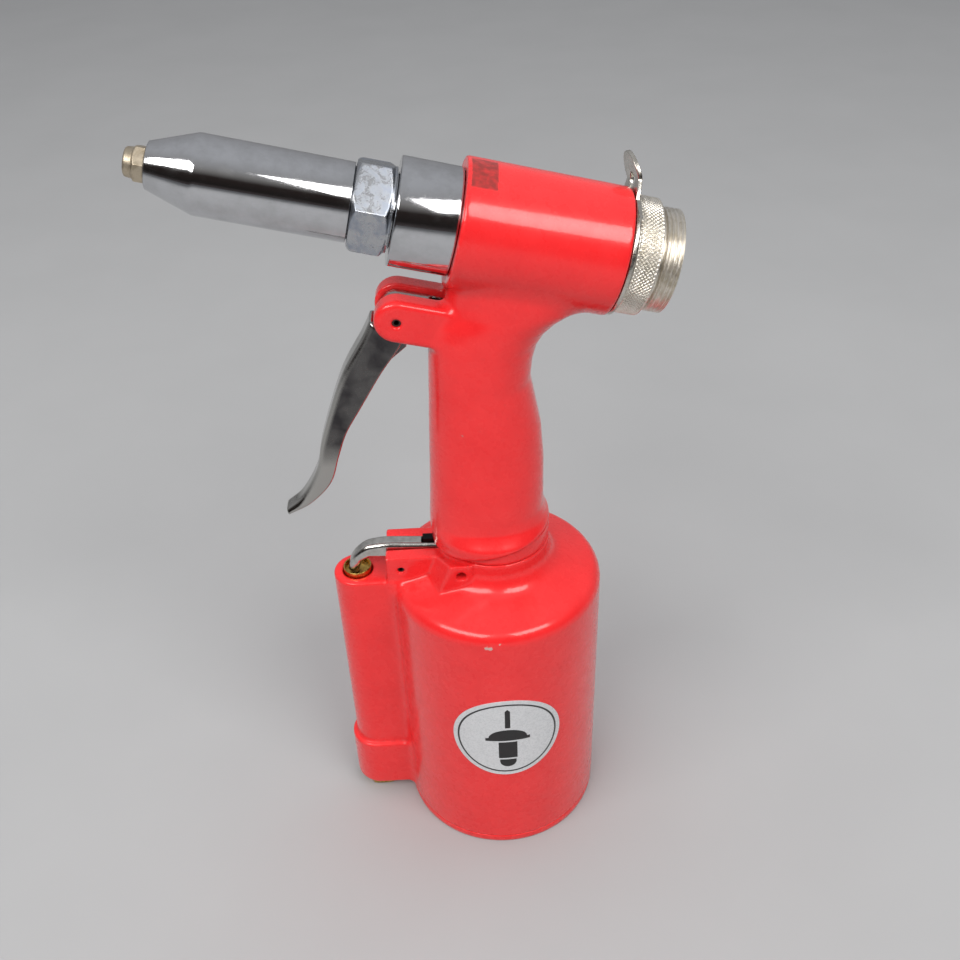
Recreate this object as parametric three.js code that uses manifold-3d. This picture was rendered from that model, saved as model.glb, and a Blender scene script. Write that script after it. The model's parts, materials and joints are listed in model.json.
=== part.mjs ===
// Air-hydraulic blind rivet gun, as an assembly of separate parts.
//
// Millimetres, +Z up.  The origin is the centre of the base cap's underside.  The nose points to -X and
// the tool is built about the plane Y = 0.  Parts on the pulling axis are drawn in a group of their own,
// whose local +Z runs forward along the barrel and whose local +X is the barrel's upward side.

import * as THREE from 'three';
import { mergeVertices } from 'three/addons/utils/BufferGeometryUtils.js';
import { ConvexGeometry } from 'three/addons/geometries/ConvexGeometry.js';
import Module from 'manifold-3d';

const wasm = await Module();
wasm.setup();

// ---------------------------------------------------------------- driving dimensions

const GAP = 0.3;                  // air between solids that touch on the real tool
const SLIP = 0.1;                 // radial clearance of a pin in its hole

const BARREL_TILT = THREE.MathUtils.degToRad(14);
const BARREL_HEIGHT = 258;        // height of the pulling axis where it crosses the cylinder axis
const BARREL_RADIUS = 20;
const BARREL_FRONT = 9.4;         // along the barrel, forward of the cylinder axis
const BARREL_REAR = -41.7;
const BARREL_BORE = 15.6;
const SLEEVE_RADIUS = 16.5;
const SLEEVE_FRONT = 28.4;
const HEAD_RADIUS = 12;
const CONE_START = 86.8;
const CONE_END = 100.8;
const CONE_END_RADIUS = 7;
const NOSE_TIP = 107.2;
const NOSE_FLATS = 10;
const PISTON_ROD_RADIUS = 7.2;
const CASE_RADIUS = 9.2;
const JAW_SLOPE = Math.atan(0.2647);

const CYLINDER_RADIUS = 40;
const CYLINDER_BORE = 36.4;
const CYLINDER_BOTTOM = 3.8;
const NECK_TOP = 137.1;
const NECK_RADIUS = 20.2;
const SPIGOT_RADIUS = 14.5;
const RAM_RADIUS = 7.15;

const HOUSING_X = -52.6;          // axis of the air valve's housing beside the cylinder
const HOUSING_RADIUS = 9.1;
const HOUSING_TOP = 122;
const HOUSING_BOTTOM = 6;
const COLLAR_RADIUS = 11;
const COLLAR_TOP = 31;
const LUG_INNER = 3.5;
const LUG_TOP = 133.5;

const TRIGGER_PIVOT = new THREE.Vector3(-29.1, 0, 231.8);
const EAR_RADIUS = 7.26;
const EAR_OUTER = 10.4;
const EAR_SLOT = 2.9;             // half the width of the slot between the trigger ears
const TRIGGER_SWING = THREE.MathUtils.degToRad(15);
const TRIGGER_PIN_RADIUS = 1.4;
const ROD_TOP = new THREE.Vector3(-14.3, 0, 231);
const ROD_BOTTOM = new THREE.Vector3(-19, 0, 132.5);
const LEVER_PIVOT = new THREE.Vector3(-35.6, 0, 127.5);
const LEVER_HALF_WIDTH = 3.1;

// Facets round a full turn, by size.
const LARGE = 48;
const MEDIUM = 32;
const SMALL = 24;
const TINY = 16;
const CURVE_STEPS = 12; // the steps in each curved run of an outline
const COIL_STEPS = 12; // the steps in each turn of a spring

// ---------------------------------------------------------------- materials

function finish(color, roughness, metalness) {
  return new THREE.MeshStandardMaterial({ color, roughness, metalness });
}

const redPaint = finish(0xe0312f, 0.25, 0.0);
const chrome = finish(0xd8dadd, 0.08, 1.0);
const nickel = finish(0xb9b3a2, 0.3, 1.0);
const steel = finish(0x8a8c8e, 0.35, 1.0);
const blackSteel = finish(0x26262a, 0.4, 0.8);
const brass = finish(0xb08d3c, 0.25, 1.0);
const aluminium = finish(0xb4b7ba, 0.35, 1.0);
const rubber = finish(0x1b1b1c, 0.7, 0.0);
const labelFilm = finish(0xc9ccce, 0.35, 0.2);

// ---------------------------------------------------------------- solids

// A closed solid from any closed three.js geometry, whichever way its faces wind.
function solid(source) {
  const geometry = source.clone();
  geometry.deleteAttribute('normal');
  geometry.deleteAttribute('uv');
  const merged = mergeVertices(geometry, 1e-4);
  const points = merged.attributes.position.array;
  const corners = merged.index.array;
  const kept = [];
  let volume = 0;
  const a = new THREE.Vector3();
  const b = new THREE.Vector3();
  const c = new THREE.Vector3();
  for (let i = 0; i < corners.length; i += 3) {
    const [p, q, r] = corners.slice(i, i + 3);
    if (p === q || q === r || r === p) continue;
    a.fromArray(points, 3 * p);
    b.fromArray(points, 3 * q);
    c.fromArray(points, 3 * r);
    volume += a.dot(b.cross(c));
    kept.push(p, q, r);
  }
  if (volume < 0) kept.reverse();
  const vertProperties = new Float32Array(points);
  const triVerts = new Uint32Array(kept);
  return new wasm.Manifold(new wasm.Mesh({ numProp: 3, vertProperties, triVerts }));
}

function union(...parts) {
  return parts.reduce((sum, part) => sum.add(part));
}

function cut(body, ...tools) {
  return tools.reduce((rest, tool) => rest.subtract(tool), body);
}

function geometryOf(body) {
  const mesh = body.getMesh();
  const geometry = new THREE.BufferGeometry();
  geometry.setAttribute('position', new THREE.BufferAttribute(mesh.vertProperties, 3));
  geometry.setIndex(new THREE.BufferAttribute(mesh.triVerts, 1));
  geometry.computeVertexNormals();
  return geometry;
}

function add(group, name, body, material) {
  const mesh = new THREE.Mesh(geometryOf(body), material);
  mesh.name = name;
  group.add(mesh);
  return mesh;
}

function moved(geometry, x, y, z) {
  return geometry.translate(x, y, z);
}

// A turned part about +Z, from [radius, height] pairs that start and end on the axis or on each other.
function turned(profile, facets = MEDIUM) {
  const points = profile.map(([radius, height]) => new THREE.Vector2(radius, height));
  return new THREE.LatheGeometry(points, facets).rotateX(Math.PI / 2);
}

function rod(radius, low, high, facets = MEDIUM) {
  return turned([[0, low], [radius, low], [radius, high], [0, high]], facets);
}

function tube(inner, outer, low, high, facets = MEDIUM) {
  return turned([[inner, low], [outer, low], [outer, high], [inner, high], [inner, low]], facets);
}

function oRing(radius, height, section, facets = SMALL) {
  return moved(new THREE.TorusGeometry(radius, section, 4, facets), 0, 0, height);
}

function hexPrism(acrossFlats, low, high, clocking = 0) {
  const corner = acrossFlats / 2 / Math.cos(Math.PI / 6);
  const prism = new THREE.CylinderGeometry(corner, corner, high - low, 6).rotateX(Math.PI / 2);
  return moved(prism.rotateZ(clocking), 0, 0, (low + high) / 2);
}

function block(low, high) {
  const size = high.map((value, axis) => value - low[axis]);
  const middle = high.map((value, axis) => (value + low[axis]) / 2);
  return moved(new THREE.BoxGeometry(...size), ...middle);
}

// A cross-pin along Y.
function crossPin(radius, centre, low, high, facets = SMALL) {
  return moved(rod(radius, low, high, facets).rotateX(-Math.PI / 2), centre.x, 0, centre.z);
}

// A round bar from one point to another.
function between(start, end, radius) {
  const bar = rod(radius, 0, start.distanceTo(end), TINY);
  const turn = new THREE.Quaternion().setFromUnitVectors(
    new THREE.Vector3(0, 0, 1), end.clone().sub(start).normalize());
  return bar.applyQuaternion(turn).translate(start.x, start.y, start.z);
}

// A plate in the XZ plane, from a THREE.Shape drawn with x and z, between two values of Y.
function plate(shape, low, high, curveSegments = CURVE_STEPS) {
  const options = { depth: high - low, bevelEnabled: false, curveSegments };
  return new THREE.ExtrudeGeometry(shape, options).rotateX(Math.PI / 2).translate(0, high, 0);
}

function shapeOf(points) {
  return new THREE.Shape(points.map(([x, z]) => new THREE.Vector2(x, z)));
}

// The outline of a bar with two round ends.
function capsule(start, end, startRadius, endRadius) {
  const turn = Math.atan2(end.z - start.z, end.x - start.x);
  const shape = new THREE.Shape();
  shape.absarc(start.x, start.z, startRadius, turn + Math.PI / 2, turn + Math.PI * 1.5, false);
  shape.absarc(end.x, end.z, endRadius, turn - Math.PI / 2, turn + Math.PI / 2, false);
  return shape;
}

// A coil spring about +Z, of wire with a five-sided section.
function coil(radius, wire, low, high, turns) {
  class Helix extends THREE.Curve {
    getPoint(t, target = new THREE.Vector3()) {
      const angle = 2 * Math.PI * turns * t;
      return target.set(radius * Math.cos(angle), radius * Math.sin(angle), low + (high - low) * t);
    }
  }
  const section = new THREE.Shape();
  for (let side = 0; side < 5; side++) {
    const angle = (side * 2 * Math.PI) / 5;
    section[side ? 'lineTo' : 'moveTo'](wire * Math.cos(angle), wire * Math.sin(angle));
  }
  const steps = Math.round(turns * COIL_STEPS);
  return new THREE.ExtrudeGeometry(section, { steps, bevelEnabled: false, extrudePath: new Helix() });
}

// ---------------------------------------------------------------- groups and axes

const gun = new THREE.Group();
const barrel = new THREE.Group();
barrel.position.set(0, 0, BARREL_HEIGHT);
barrel.rotation.y = BARREL_TILT - Math.PI / 2;
barrel.updateMatrix();
gun.add(barrel);

function onBarrel(geometry) {
  return geometry.clone().applyMatrix4(barrel.matrix);
}

// ---------------------------------------------------------------- handle frame

// The grip's sections: height, front and back in X, and half the width in Y.
const GRIP_SECTIONS = [
  [137.4, -22.9, 20.2, 20.2],
  [141.2, -23.2, 20.2, 20.4],
  [142.2, -23.4, 20.2, 21.0],
  [144.5, -23.5, 20.0, 21.8],
  [148, -23.5, 19.2, 21.4],
  [153, -23.2, 17.9, 19.6],
  [160, -22.8, 18.1, 18.2],
  [173, -22.2, 18.1, 17.2],
  [186, -21.6, 17.2, 16.8],
  [196, -21.1, 15.4, 16.5],
  [206, -20.6, 13.5, 16.3],
  [214, -20.2, 14.4, 16.3],
  [220, -19.9, 16.0, 16.2],
  [225, -19.2, 19.5, 16.1],
  [229, -17.8, 24.4, 16.0],
  [233, -15.0, 32.0, 15.9],
  [237, -13.8, 35.5, 15.9],
  [241, -13.4, 36.0, 15.8],
  [247, -11.5, 34.0, 15.6],
];
const ROUND_SECTIONS_BELOW = 146;

// Each row of a plain cylinder's vertices takes one section's size: a circle low down, squarer above.
function grip() {
  const rows = GRIP_SECTIONS.length - 1;
  const geometry = new THREE.CylinderGeometry(1, 1, 1, MEDIUM, rows);
  const position = geometry.attributes.position;
  for (let i = 0; i < position.count; i++) {
    const row = Math.round((position.getY(i) + 0.5) * rows);
    const [height, front, back, halfWidth] = GRIP_SECTIONS[row];
    const power = height < ROUND_SECTIONS_BELOW ? 1 : 0.86;
    const x = Math.sign(position.getX(i)) * Math.abs(position.getX(i)) ** power;
    const y = Math.sign(position.getZ(i)) * Math.abs(position.getZ(i)) ** power;
    position.setXYZ(i, (front + back) / 2 + (x * (back - front)) / 2, -y * halfWidth, height);
  }
  return geometry;
}

const EAR_END = new THREE.Vector3(
  TRIGGER_PIVOT.x + 24 * Math.cos(BARREL_TILT), 0, TRIGGER_PIVOT.z - 24 * Math.sin(BARREL_TILT));

function earBar(radius, halfWidth) {
  return plate(capsule(TRIGGER_PIVOT, EAR_END, radius, radius), -halfWidth, halfWidth);
}

const CHANNEL_RADIUS = 2.4;
const ROD_LEAN = Math.atan2(ROD_BOTTOM.x - ROD_TOP.x, ROD_TOP.z - ROD_BOTTOM.z);

// Places something drawn about the Z axis onto the trigger rod's leaning axis.
function onRodAxis(geometry) {
  return moved(geometry.rotateY(-ROD_LEAN), ROD_BOTTOM.x, 0, ROD_BOTTOM.z);
}

function handleFrame() {
  const outside = union(
    solid(grip()),
    solid(onBarrel(rod(BARREL_RADIUS, BARREL_REAR, BARREL_FRONT, LARGE))),
    solid(earBar(EAR_RADIUS, EAR_OUTER)),
    solid(rod(SPIGOT_RADIUS, 103.5, 140)),
  );
  const slotShape = shapeOf([
    [-45, 214], [-21, 214], [-21, 226.5], [-13.9, 226.5], [-13.9, 239], [-45, 239],
  ]);
  return cut(
    outside,
    solid(onBarrel(rod(BARREL_RADIUS + 0.6, BARREL_FRONT, 50, LARGE))),
    solid(onBarrel(rod(BARREL_BORE, -40, 20, LARGE))),
    solid(onBarrel(rod(17, -60, -35, LARGE))),
    solid(plate(slotShape, -EAR_SLOT, EAR_SLOT)),
    solid(moved(rod(EAR_SLOT, 226.5, 239, SMALL), -13.9, 0, 0)),
    solid(onRodAxis(rod(CHANNEL_RADIUS, 0, 97, SMALL))),
    solid(block([-26, -3.7, 130], [-15.4, 3.7, 141])),
    solid(crossPin(TRIGGER_PIN_RADIUS + SLIP, TRIGGER_PIVOT, -20, 20)),
    solid(rod(11.4, 90, 131, MEDIUM)),
    solid(rod(8.2, 100, 212, SMALL)),
    solid(rod(2.2, 200, 246, TINY)),
    solid(crossPin(1.5, new THREE.Vector3(0, 0, 228), 0, 12, TINY)),
    solid(crossPin(3.4, new THREE.Vector3(0, 0, 228), 9, 20)),
  );
}

// ---------------------------------------------------------------- air cylinder

const TOP_CONE_OUTER = 121.2;     // where the sloping top meets the rounded shoulder
const SHOULDER = 3.5;
const NECK_FILLET = 5;
const COLLAR_FLANK_X = -38;

function arcPoints(centreR, centreZ, radius, fromDegrees, toDegrees, steps) {
  const points = [];
  for (let i = 0; i <= steps; i++) {
    const angle = THREE.MathUtils.degToRad(fromDegrees + ((toDegrees - fromDegrees) * i) / steps);
    points.push([centreR + radius * Math.cos(angle), centreZ + radius * Math.sin(angle)]);
  }
  return points;
}

function cylinderBody() {
  const profile = [
    [CYLINDER_BORE + 0.6, CYLINDER_BOTTOM],
    [CYLINDER_RADIUS, CYLINDER_BOTTOM],
    ...arcPoints(CYLINDER_RADIUS - SHOULDER, TOP_CONE_OUTER - SHOULDER, SHOULDER, 0, 90, 4),
    ...arcPoints(NECK_RADIUS + NECK_FILLET, 125.4 + NECK_FILLET, NECK_FILLET, 270, 180, 4),
    [NECK_RADIUS, NECK_TOP],
    [SPIGOT_RADIUS + GAP, NECK_TOP],
    [SPIGOT_RADIUS + GAP, 112],
    [CYLINDER_BORE, 112],
    [CYLINDER_BORE, 16.5],
    [CYLINDER_BORE + 0.6, 16.5],
    [CYLINDER_BORE + 0.6, CYLINDER_BOTTOM],
  ];
  return solid(turned(profile, LARGE));
}

// A half-round rib standing against the cylinder: round outward, straight sides inward.
function housingColumn(radius, low, high) {
  return union(
    solid(moved(rod(radius, low, high), HOUSING_X, 0, 0)),
    solid(block([HOUSING_X, -radius, low], [COLLAR_FLANK_X, radius, high])),
  );
}

// The block that carries one clamping screw, on the side of the neck given by side.
function screwBoss(side) {
  const corners = [
    [-22.3, 8.9, 118], [-22.3, 8.9, 133.4], [-17.5, 19, 118], [-17.5, 19, 136.6],
    [-8.8, 19, 118], [-8.8, 19, 137], [-8.8, 10, 118], [-8.8, 10, 137], [-17, 6, 118], [-17, 6, 137],
  ];
  return solid(new ConvexGeometry(corners.map(([x, y, z]) => new THREE.Vector3(x, side * y, z))));
}

const CLAMP_SCREW = new THREE.Vector3(-13.2, 0, 131.9);

const AIR_PORT_TOP = new THREE.Vector3(-47, 0, 38);
const AIR_PORT_BOTTOM = new THREE.Vector3(-35.5, 0, 18.5);

function airCylinder() {
  const outside = union(
    cylinderBody(),
    cut(
      union(
        housingColumn(HOUSING_RADIUS, HOUSING_BOTTOM, HOUSING_TOP),
        housingColumn(COLLAR_RADIUS, HOUSING_BOTTOM, COLLAR_TOP),
        solid(block([-41, -8.9, 115], [-15.4, 8.9, LUG_TOP])),
        screwBoss(1),
        screwBoss(-1),
      ),
      solid(rod(CYLINDER_BORE + 1.5, 0, 113, LARGE)),
      solid(rod(SPIGOT_RADIUS + GAP, 100, 140, MEDIUM)),
    ),
  );
  return cut(
    outside,
    solid(block([-45, -LUG_INNER, HOUSING_TOP], [-15.4, LUG_INNER, 140])),
    solid(crossPin(1.3, LEVER_PIVOT, -12, 12)),
    solid(crossPin(1.9, CLAMP_SCREW, -24, 24)),
    solid(moved(rod(5.9, 62, 130, SMALL), HOUSING_X, 0, 0)),
    solid(moved(rod(7.3, 0, 62.5, SMALL), HOUSING_X, 0, 0)),
    solid(between(AIR_PORT_TOP, AIR_PORT_BOTTOM, 1.6)),
  );
}

// ---------------------------------------------------------------- air motor

const STACK_BOTTOM = 15.5;        // lower end of the ram's threaded stub
const PISTON_BOTTOM = 21.5;
const PISTON_TOP = 33.5;

function baseCap() {
  const cup = turned([
    [0, 0], [CYLINDER_RADIUS, 0], [CYLINDER_RADIUS, 3.5], [35.9, 3.5], [35.9, 16], [30, 16], [30, 5],
    [0, 5],
  ], LARGE);
  const spannerHoles = [-22, 22].map((x) => solid(moved(rod(2.5, -1, 3, TINY), x, 0, 0)));
  const groove = tube(34, 38, 8, 11, LARGE);
  return cut(solid(cup), ...spannerHoles, solid(groove));
}

function airPiston() {
  return solid(turned([
    [5.1, 25.6], [28, 25.6], [28, PISTON_BOTTOM], [34, PISTON_BOTTOM], [35.9, 23], [35.9, 28.4],
    [34, 28.4], [34, 31.2], [35.9, 31.2], [35.9, PISTON_TOP], [5.1, PISTON_TOP], [5.1, 25.6],
  ], LARGE));
}

function addAirMotor() {
  add(gun, 'base_cap', baseCap(), redPaint);
  add(gun, 'base_cap_seal', solid(oRing(35.2, 9.5, 0.9, LARGE)), rubber);
  add(gun, 'piston_bumper', solid(tube(30.6, 34.6, 16.3, 21.2)), rubber);
  add(gun, 'air_piston', airPiston(), aluminium);
  add(gun, 'air_piston_seal', solid(oRing(35.1, 29.8, 0.95, LARGE)), rubber);
  add(gun, 'air_piston_washer', solid(tube(5.1, 11, 23.8, 25.3, SMALL)), steel);
  add(gun, 'air_piston_nut', cut(solid(hexPrism(17, 16.6, 23.5)), solid(rod(5.1, 10, 30, SMALL))), steel);
  const ram = turned([
    [0, STACK_BOTTOM], [4.8, STACK_BOTTOM], [4.8, 33.8], [RAM_RADIUS, 33.8],
    [RAM_RADIUS, 149], [6.2, 150], [0, 150],
  ], SMALL);
  add(gun, 'ram', solid(ram), chrome);
}

function addRamGland() {
  const gland = turned([
    [7.4, 104], [11.1, 104], [11.1, 130.7], [7.4, 130.7], [7.4, 122], [9.2, 122],
    [9.2, 118.4], [7.4, 118.4], [7.4, 104],
  ], MEDIUM);
  add(gun, 'ram_gland', solid(gland), brass);
  add(gun, 'ram_seal', solid(oRing(8.2, 120.2, 0.7)), rubber);
  const nut = tube(SPIGOT_RADIUS + GAP, 20, 104, 111.7);
  add(gun, 'cylinder_lock_nut', solid(nut), steel);
}

function addClampScrews() {
  [['near', -1], ['far', 1]].forEach(([place, side]) => {
    const screw = turned([[0, 9.2], [1.6, 9.2], [1.6, 14.5], [0.8, 14.5], [0.8, 12.5], [0, 12.5]], TINY);
    screw.rotateX((-side * Math.PI) / 2).translate(CLAMP_SCREW.x, 0, CLAMP_SCREW.z);
    add(gun, `clamp_screw_${place}`, solid(screw), blackSteel);
  });
}

// ---------------------------------------------------------------- trigger and its linkage

// The finger blade's side view: the front edge down to the curled tip, and back up.
const BLADE_FRONT = [
  [-38, 229.8],
  [-41.2, 223.5],
  [-48.6, 211],
  [-54.3, 196.8],
  [-59, 183],
  [-62, 171.5],
  [-68.5, 160.3],
  [-75.2, 154.2],
];
const BLADE_BACK = [
  [-74.2, 152.8],
  [-65.4, 157.6],
  [-57.2, 166.6],
  [-53.2, 178],
  [-49.4, 188],
  [-43.3, 198.3],
  [-35.6, 211],
  [-28.6, 221.1],
  [-28.2, 226],
];

function splineOutline(...runs) {
  const shape = new THREE.Shape();
  runs.forEach((run, index) => {
    const points = run.map(([x, z]) => new THREE.Vector2(x, z));
    const curve = new THREE.SplineCurve(points);
    curve.getPoints(3 * (points.length - 1)).forEach((point, i) => {
      shape[index === 0 && i === 0 ? 'moveTo' : 'lineTo'](point.x, point.y);
    });
  });
  shape.closePath();
  return shape;
}

// The blade is widest at the top and narrower towards its tip.
function triggerBlade() {
  const geometry = plate(splineOutline(BLADE_FRONT, BLADE_BACK), -1, 1);
  const position = geometry.attributes.position;
  for (let i = 0; i < position.count; i++) {
    const share = THREE.MathUtils.clamp((position.getZ(i) - 152) / 40, 0, 1);
    position.setY(i, position.getY(i) * THREE.MathUtils.lerp(4.3, 5.5, share));
  }
  return solid(geometry);
}

// The ears' outline with clearance, turned about the trigger's pivot.
function earSweep(angle) {
  const bar = earBar(EAR_RADIUS + 0.45, 20);
  bar.translate(-TRIGGER_PIVOT.x, 0, -TRIGGER_PIVOT.z).rotateY(angle);
  return solid(bar.translate(TRIGGER_PIVOT.x, 0, TRIGGER_PIVOT.z));
}

function trigger() {
  const armEnd = new THREE.Vector3(ROD_TOP.x, 0, ROD_TOP.z + 0.6);
  const neck = shapeOf([[-36, 226], [-24.5, 228.5], [-27, 219], [-34, 213], [-42, 220]]);
  const roundEnd = solid(moved(rod(2.6, 200, 250, SMALL), -13.9, 0, 0));
  const plan = union(
    solid(block([-50, -2.5, 200], [-19, 2.5, 250])),
    solid(block([-20, -2.2, 200], [-13.9, 2.2, 250])),
    roundEnd.intersect(solid(block([-16, -2.2, 200], [-5, 2.2, 250]))),
  );
  const web = union(
    solid(plate(capsule(TRIGGER_PIVOT, armEnd, 5.9, 2.5), -4, 4)),
    solid(plate(neck, -4, 4)),
  ).intersect(plan);
  const blade = cut(triggerBlade(), earSweep(0), earSweep(TRIGGER_SWING));
  const fork = block([-18.4, -1.1, 222], [-10, 1.1, 240]);
  return cut(
    union(blade, web),
    solid(fork),
    solid(crossPin(TRIGGER_PIN_RADIUS + SLIP, TRIGGER_PIVOT, -9, 9)),
    solid(crossPin(1.1, ROD_TOP, -9, 9, TINY)),
  );
}

const ROD_LENGTH = ROD_TOP.distanceTo(ROD_BOTTOM);

// The rod runs between a flat eye at the trigger and a slotted black block at the valve lever.
function triggerRod() {
  const body = union(
    solid(onRodAxis(rod(1.7, 2, ROD_LENGTH - 3, TINY))),
    solid(onRodAxis(block([-2.1, -0.8, ROD_LENGTH - 6], [2.1, 0.8, ROD_LENGTH + 1.8]))),
    solid(block([-27, -1.6, 129.4], [-16.4, 1.6, 136.2])),
  );
  const eyeSlot = shapeOf([[-22.4, 130.9], [-17.4, 130.9], [-17.4, 134.3], [-22.4, 134.3]]);
  const topSlotEnd = ROD_TOP.clone().setX(ROD_TOP.x - 0.5);
  const topSlot = capsule(topSlotEnd, ROD_TOP, 1.15, 1.15);
  return cut(body, solid(plate(eyeSlot, -3, 3)), solid(plate(topSlot, -3, 3, 8)));
}

const LEVER_TOP = [
  [-55.8, 123.6],
  [-54.6, 127.8],
  [-52.2, 131.4],
  [-48.4, 134.4],
  [-44, 135.4],
  [-39, 135.6],
  [-27.6, 134.9],
];

function valveLever() {
  const outline = splineOutline(LEVER_TOP, [[-27.6, 134.9], [-16.4, 134.6]]);
  const shape = new THREE.Shape(outline.getPoints().slice(0, -1));
  [[-16.4, 130.6], [-27, 130.2], [-31.6, 126.6]].forEach(([x, z]) => shape.lineTo(x, z));
  shape.absarc(LEVER_PIVOT.x, LEVER_PIVOT.z, 3.6, -0.25, -Math.PI + 0.2, true);
  [[-41, 128.4], [-47.3, 128.8], [-50.1, 127.2], [-51.4, 124.2], [-52, 122], [-55.2, 122]]
    .forEach(([x, z]) => shape.lineTo(x, z));
  return cut(
    solid(plate(shape, -LEVER_HALF_WIDTH, LEVER_HALF_WIDTH)),
    solid(block([-27.5, -1.9, 120], [-10, 1.9, 140])),
    solid(crossPin(1.3, LEVER_PIVOT, -9, 9)),
    solid(crossPin(1.1, ROD_BOTTOM, -9, 9, TINY)),
  );
}

// A hollow spring pin across the tool, reaching the same distance either side.
function rollPin(radius, centre, reach) {
  const bore = crossPin(0.62 * radius, centre, -reach - 1, reach + 1, TINY);
  return cut(solid(crossPin(radius, centre, -reach, reach)), solid(bore));
}

function addTriggerLinkage() {
  add(gun, 'trigger', trigger(), steel);
  add(gun, 'trigger_pin', rollPin(TRIGGER_PIN_RADIUS, TRIGGER_PIVOT, 9.4), steel);
  add(gun, 'trigger_rod', triggerRod(), blackSteel);
  add(gun, 'trigger_link_pin', solid(crossPin(1.0, ROD_TOP, -2.4, 2.4, TINY)), steel);
  add(gun, 'valve_lever', valveLever(), chrome);
  add(gun, 'valve_lever_pin', rollPin(1.2, LEVER_PIVOT, 8.1), steel);
  add(gun, 'lever_link_pin', solid(crossPin(1.0, ROD_BOTTOM, -3, 3, TINY)), steel);
}

// ---------------------------------------------------------------- air valve

function atHousing(geometry) {
  return solid(moved(geometry, HOUSING_X, 0, 0));
}

function airInlet() {
  const body = union(
    solid(hexPrism(14.7, 0.6, 5.7, Math.PI / 6)),
    solid(rod(6.9, 5, 15.5, SMALL)),
  );
  const waist = tube(6, 9, 11, 13.4, SMALL);
  const passage = turned([[0, -1], [5.2, -1], [5.2, 11.5], [3, 11.5], [3, 17], [0, 17]], SMALL);
  return cut(body, solid(waist), solid(passage)).translate([HOUSING_X, 0, 0]);
}

function addAirValve() {
  const plunger = turned([
    [0, 60.5], [1.5, 60.5], [1.5, 100], [5.6, 100], [5.6, 110.4], [4.1, 110.4], [4.1, 112.6], [5.6, 112.6],
    [5.6, 124], [4.8, 124], [4.8, 121.6], [0, 121.6],
  ], SMALL);
  add(gun, 'valve_plunger', atHousing(plunger), brass);
  add(gun, 'plunger_seal', atHousing(oRing(4.85, 111.5, 0.6, SMALL)), rubber);
  const guide = turned([
    [1.9, 52], [6.9, 52], [6.9, 61.7], [1.9, 61.7], [1.9, 52],
  ], SMALL);
  add(gun, 'plunger_guide', atHousing(guide), brass);
  const seat = turned([[2.6, 28], [6.9, 28], [6.9, 33], [2.6, 33], [2.6, 28]], SMALL);
  add(gun, 'valve_seat', atHousing(seat), brass);
  const poppet = turned([
    [0, 20.5], [1.6, 20.5], [1.6, 24.4], [4.6, 24.4], [4.6, 27.7], [1.5, 27.7], [1.5, 60.2], [0, 60.2],
  ], SMALL);
  add(gun, 'valve_poppet', atHousing(poppet), brass);
  add(gun, 'valve_spring', atHousing(coil(3.2, 0.4, 16.2, 23.6, 2.5)), steel);
  add(gun, 'air_inlet', airInlet(), brass);
  add(gun, 'air_inlet_seal', atHousing(oRing(6.55, 12.2, 0.4, SMALL)), rubber);
  add(gun, 'inlet_strainer', atHousing(turned([
    [0, 6.6], [4.8, 6.6], [4.8, 7.4], [0, 7.4],
  ], SMALL)), steel);
}

// ---------------------------------------------------------------- pulling head

function frontSleeve() {
  return solid(turned([
    [8.6, -1], [15.3, -1], [15.3, 2], [13.6, 2], [13.6, 4.6], [15.3, 4.6],
    [15.3, BARREL_FRONT + GAP], [SLEEVE_RADIUS, BARREL_FRONT + GAP],
    [SLEEVE_RADIUS, SLEEVE_FRONT - 0.8], [SLEEVE_RADIUS - 0.8, SLEEVE_FRONT], [11.4, SLEEVE_FRONT],
    [11.4, 16], [8.6, 16], [8.6, 8.6], [10.4, 8.6], [10.4, 5.6], [8.6, 5.6], [8.6, -1],
  ], LARGE));
}

const NUT_REAR = 29;
const NUT_FRONT = 41.1;

// A hex nut, chamfered at the front and with a washer face behind.
function headLockNut() {
  const corner = 26 / 2 / Math.cos(Math.PI / 6);
  const envelope = turned([
    [0, NUT_REAR], [13, NUT_REAR], [13, NUT_REAR + 0.9], [corner + 0.2, NUT_REAR + 0.9],
    [corner + 0.2, NUT_FRONT - 1.6], [HEAD_RADIUS + 0.5, NUT_FRONT], [0, NUT_FRONT],
  ], MEDIUM);
  const hex = solid(hexPrism(26, NUT_REAR, NUT_FRONT, Math.PI / 12)).intersect(solid(envelope));
  return cut(hex, solid(rod(11.3, 0, 60)));
}

function frameHead() {
  return solid(turned([
    [9.7, 17], [10.9, 17], [10.9, NUT_FRONT + GAP], [HEAD_RADIUS, NUT_FRONT + GAP],
    [HEAD_RADIUS, CONE_START], [CONE_END_RADIUS, CONE_END], [4.4, CONE_END], [4.4, 92],
    [9.7, 84.5], [9.7, 17],
  ], MEDIUM));
}

function nosepiece() {
  const corner = NOSE_FLATS / 2 / Math.cos(Math.PI / 6);
  const hexLow = CONE_END + GAP;
  const hexTurn = THREE.MathUtils.degToRad(17);
  const envelope = turned([
    [0, 79.9], [2.9, 79.9], [2.9, 91.5], [4.1, 91.5], [4.1, hexLow], [corner, hexLow],
    [corner, 104], [4.6, 104.8], [4.4, 106.5], [3.7, NOSE_TIP], [0, NOSE_TIP],
  ], SMALL);
  const hex = union(
    solid(hexPrism(NOSE_FLATS, hexLow, 104.8, hexTurn)),
    solid(rod(4.6, 60, 120, SMALL)),
  );
  return cut(solid(envelope).intersect(hex), solid(rod(1.6, 70, 120, TINY)));
}

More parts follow.
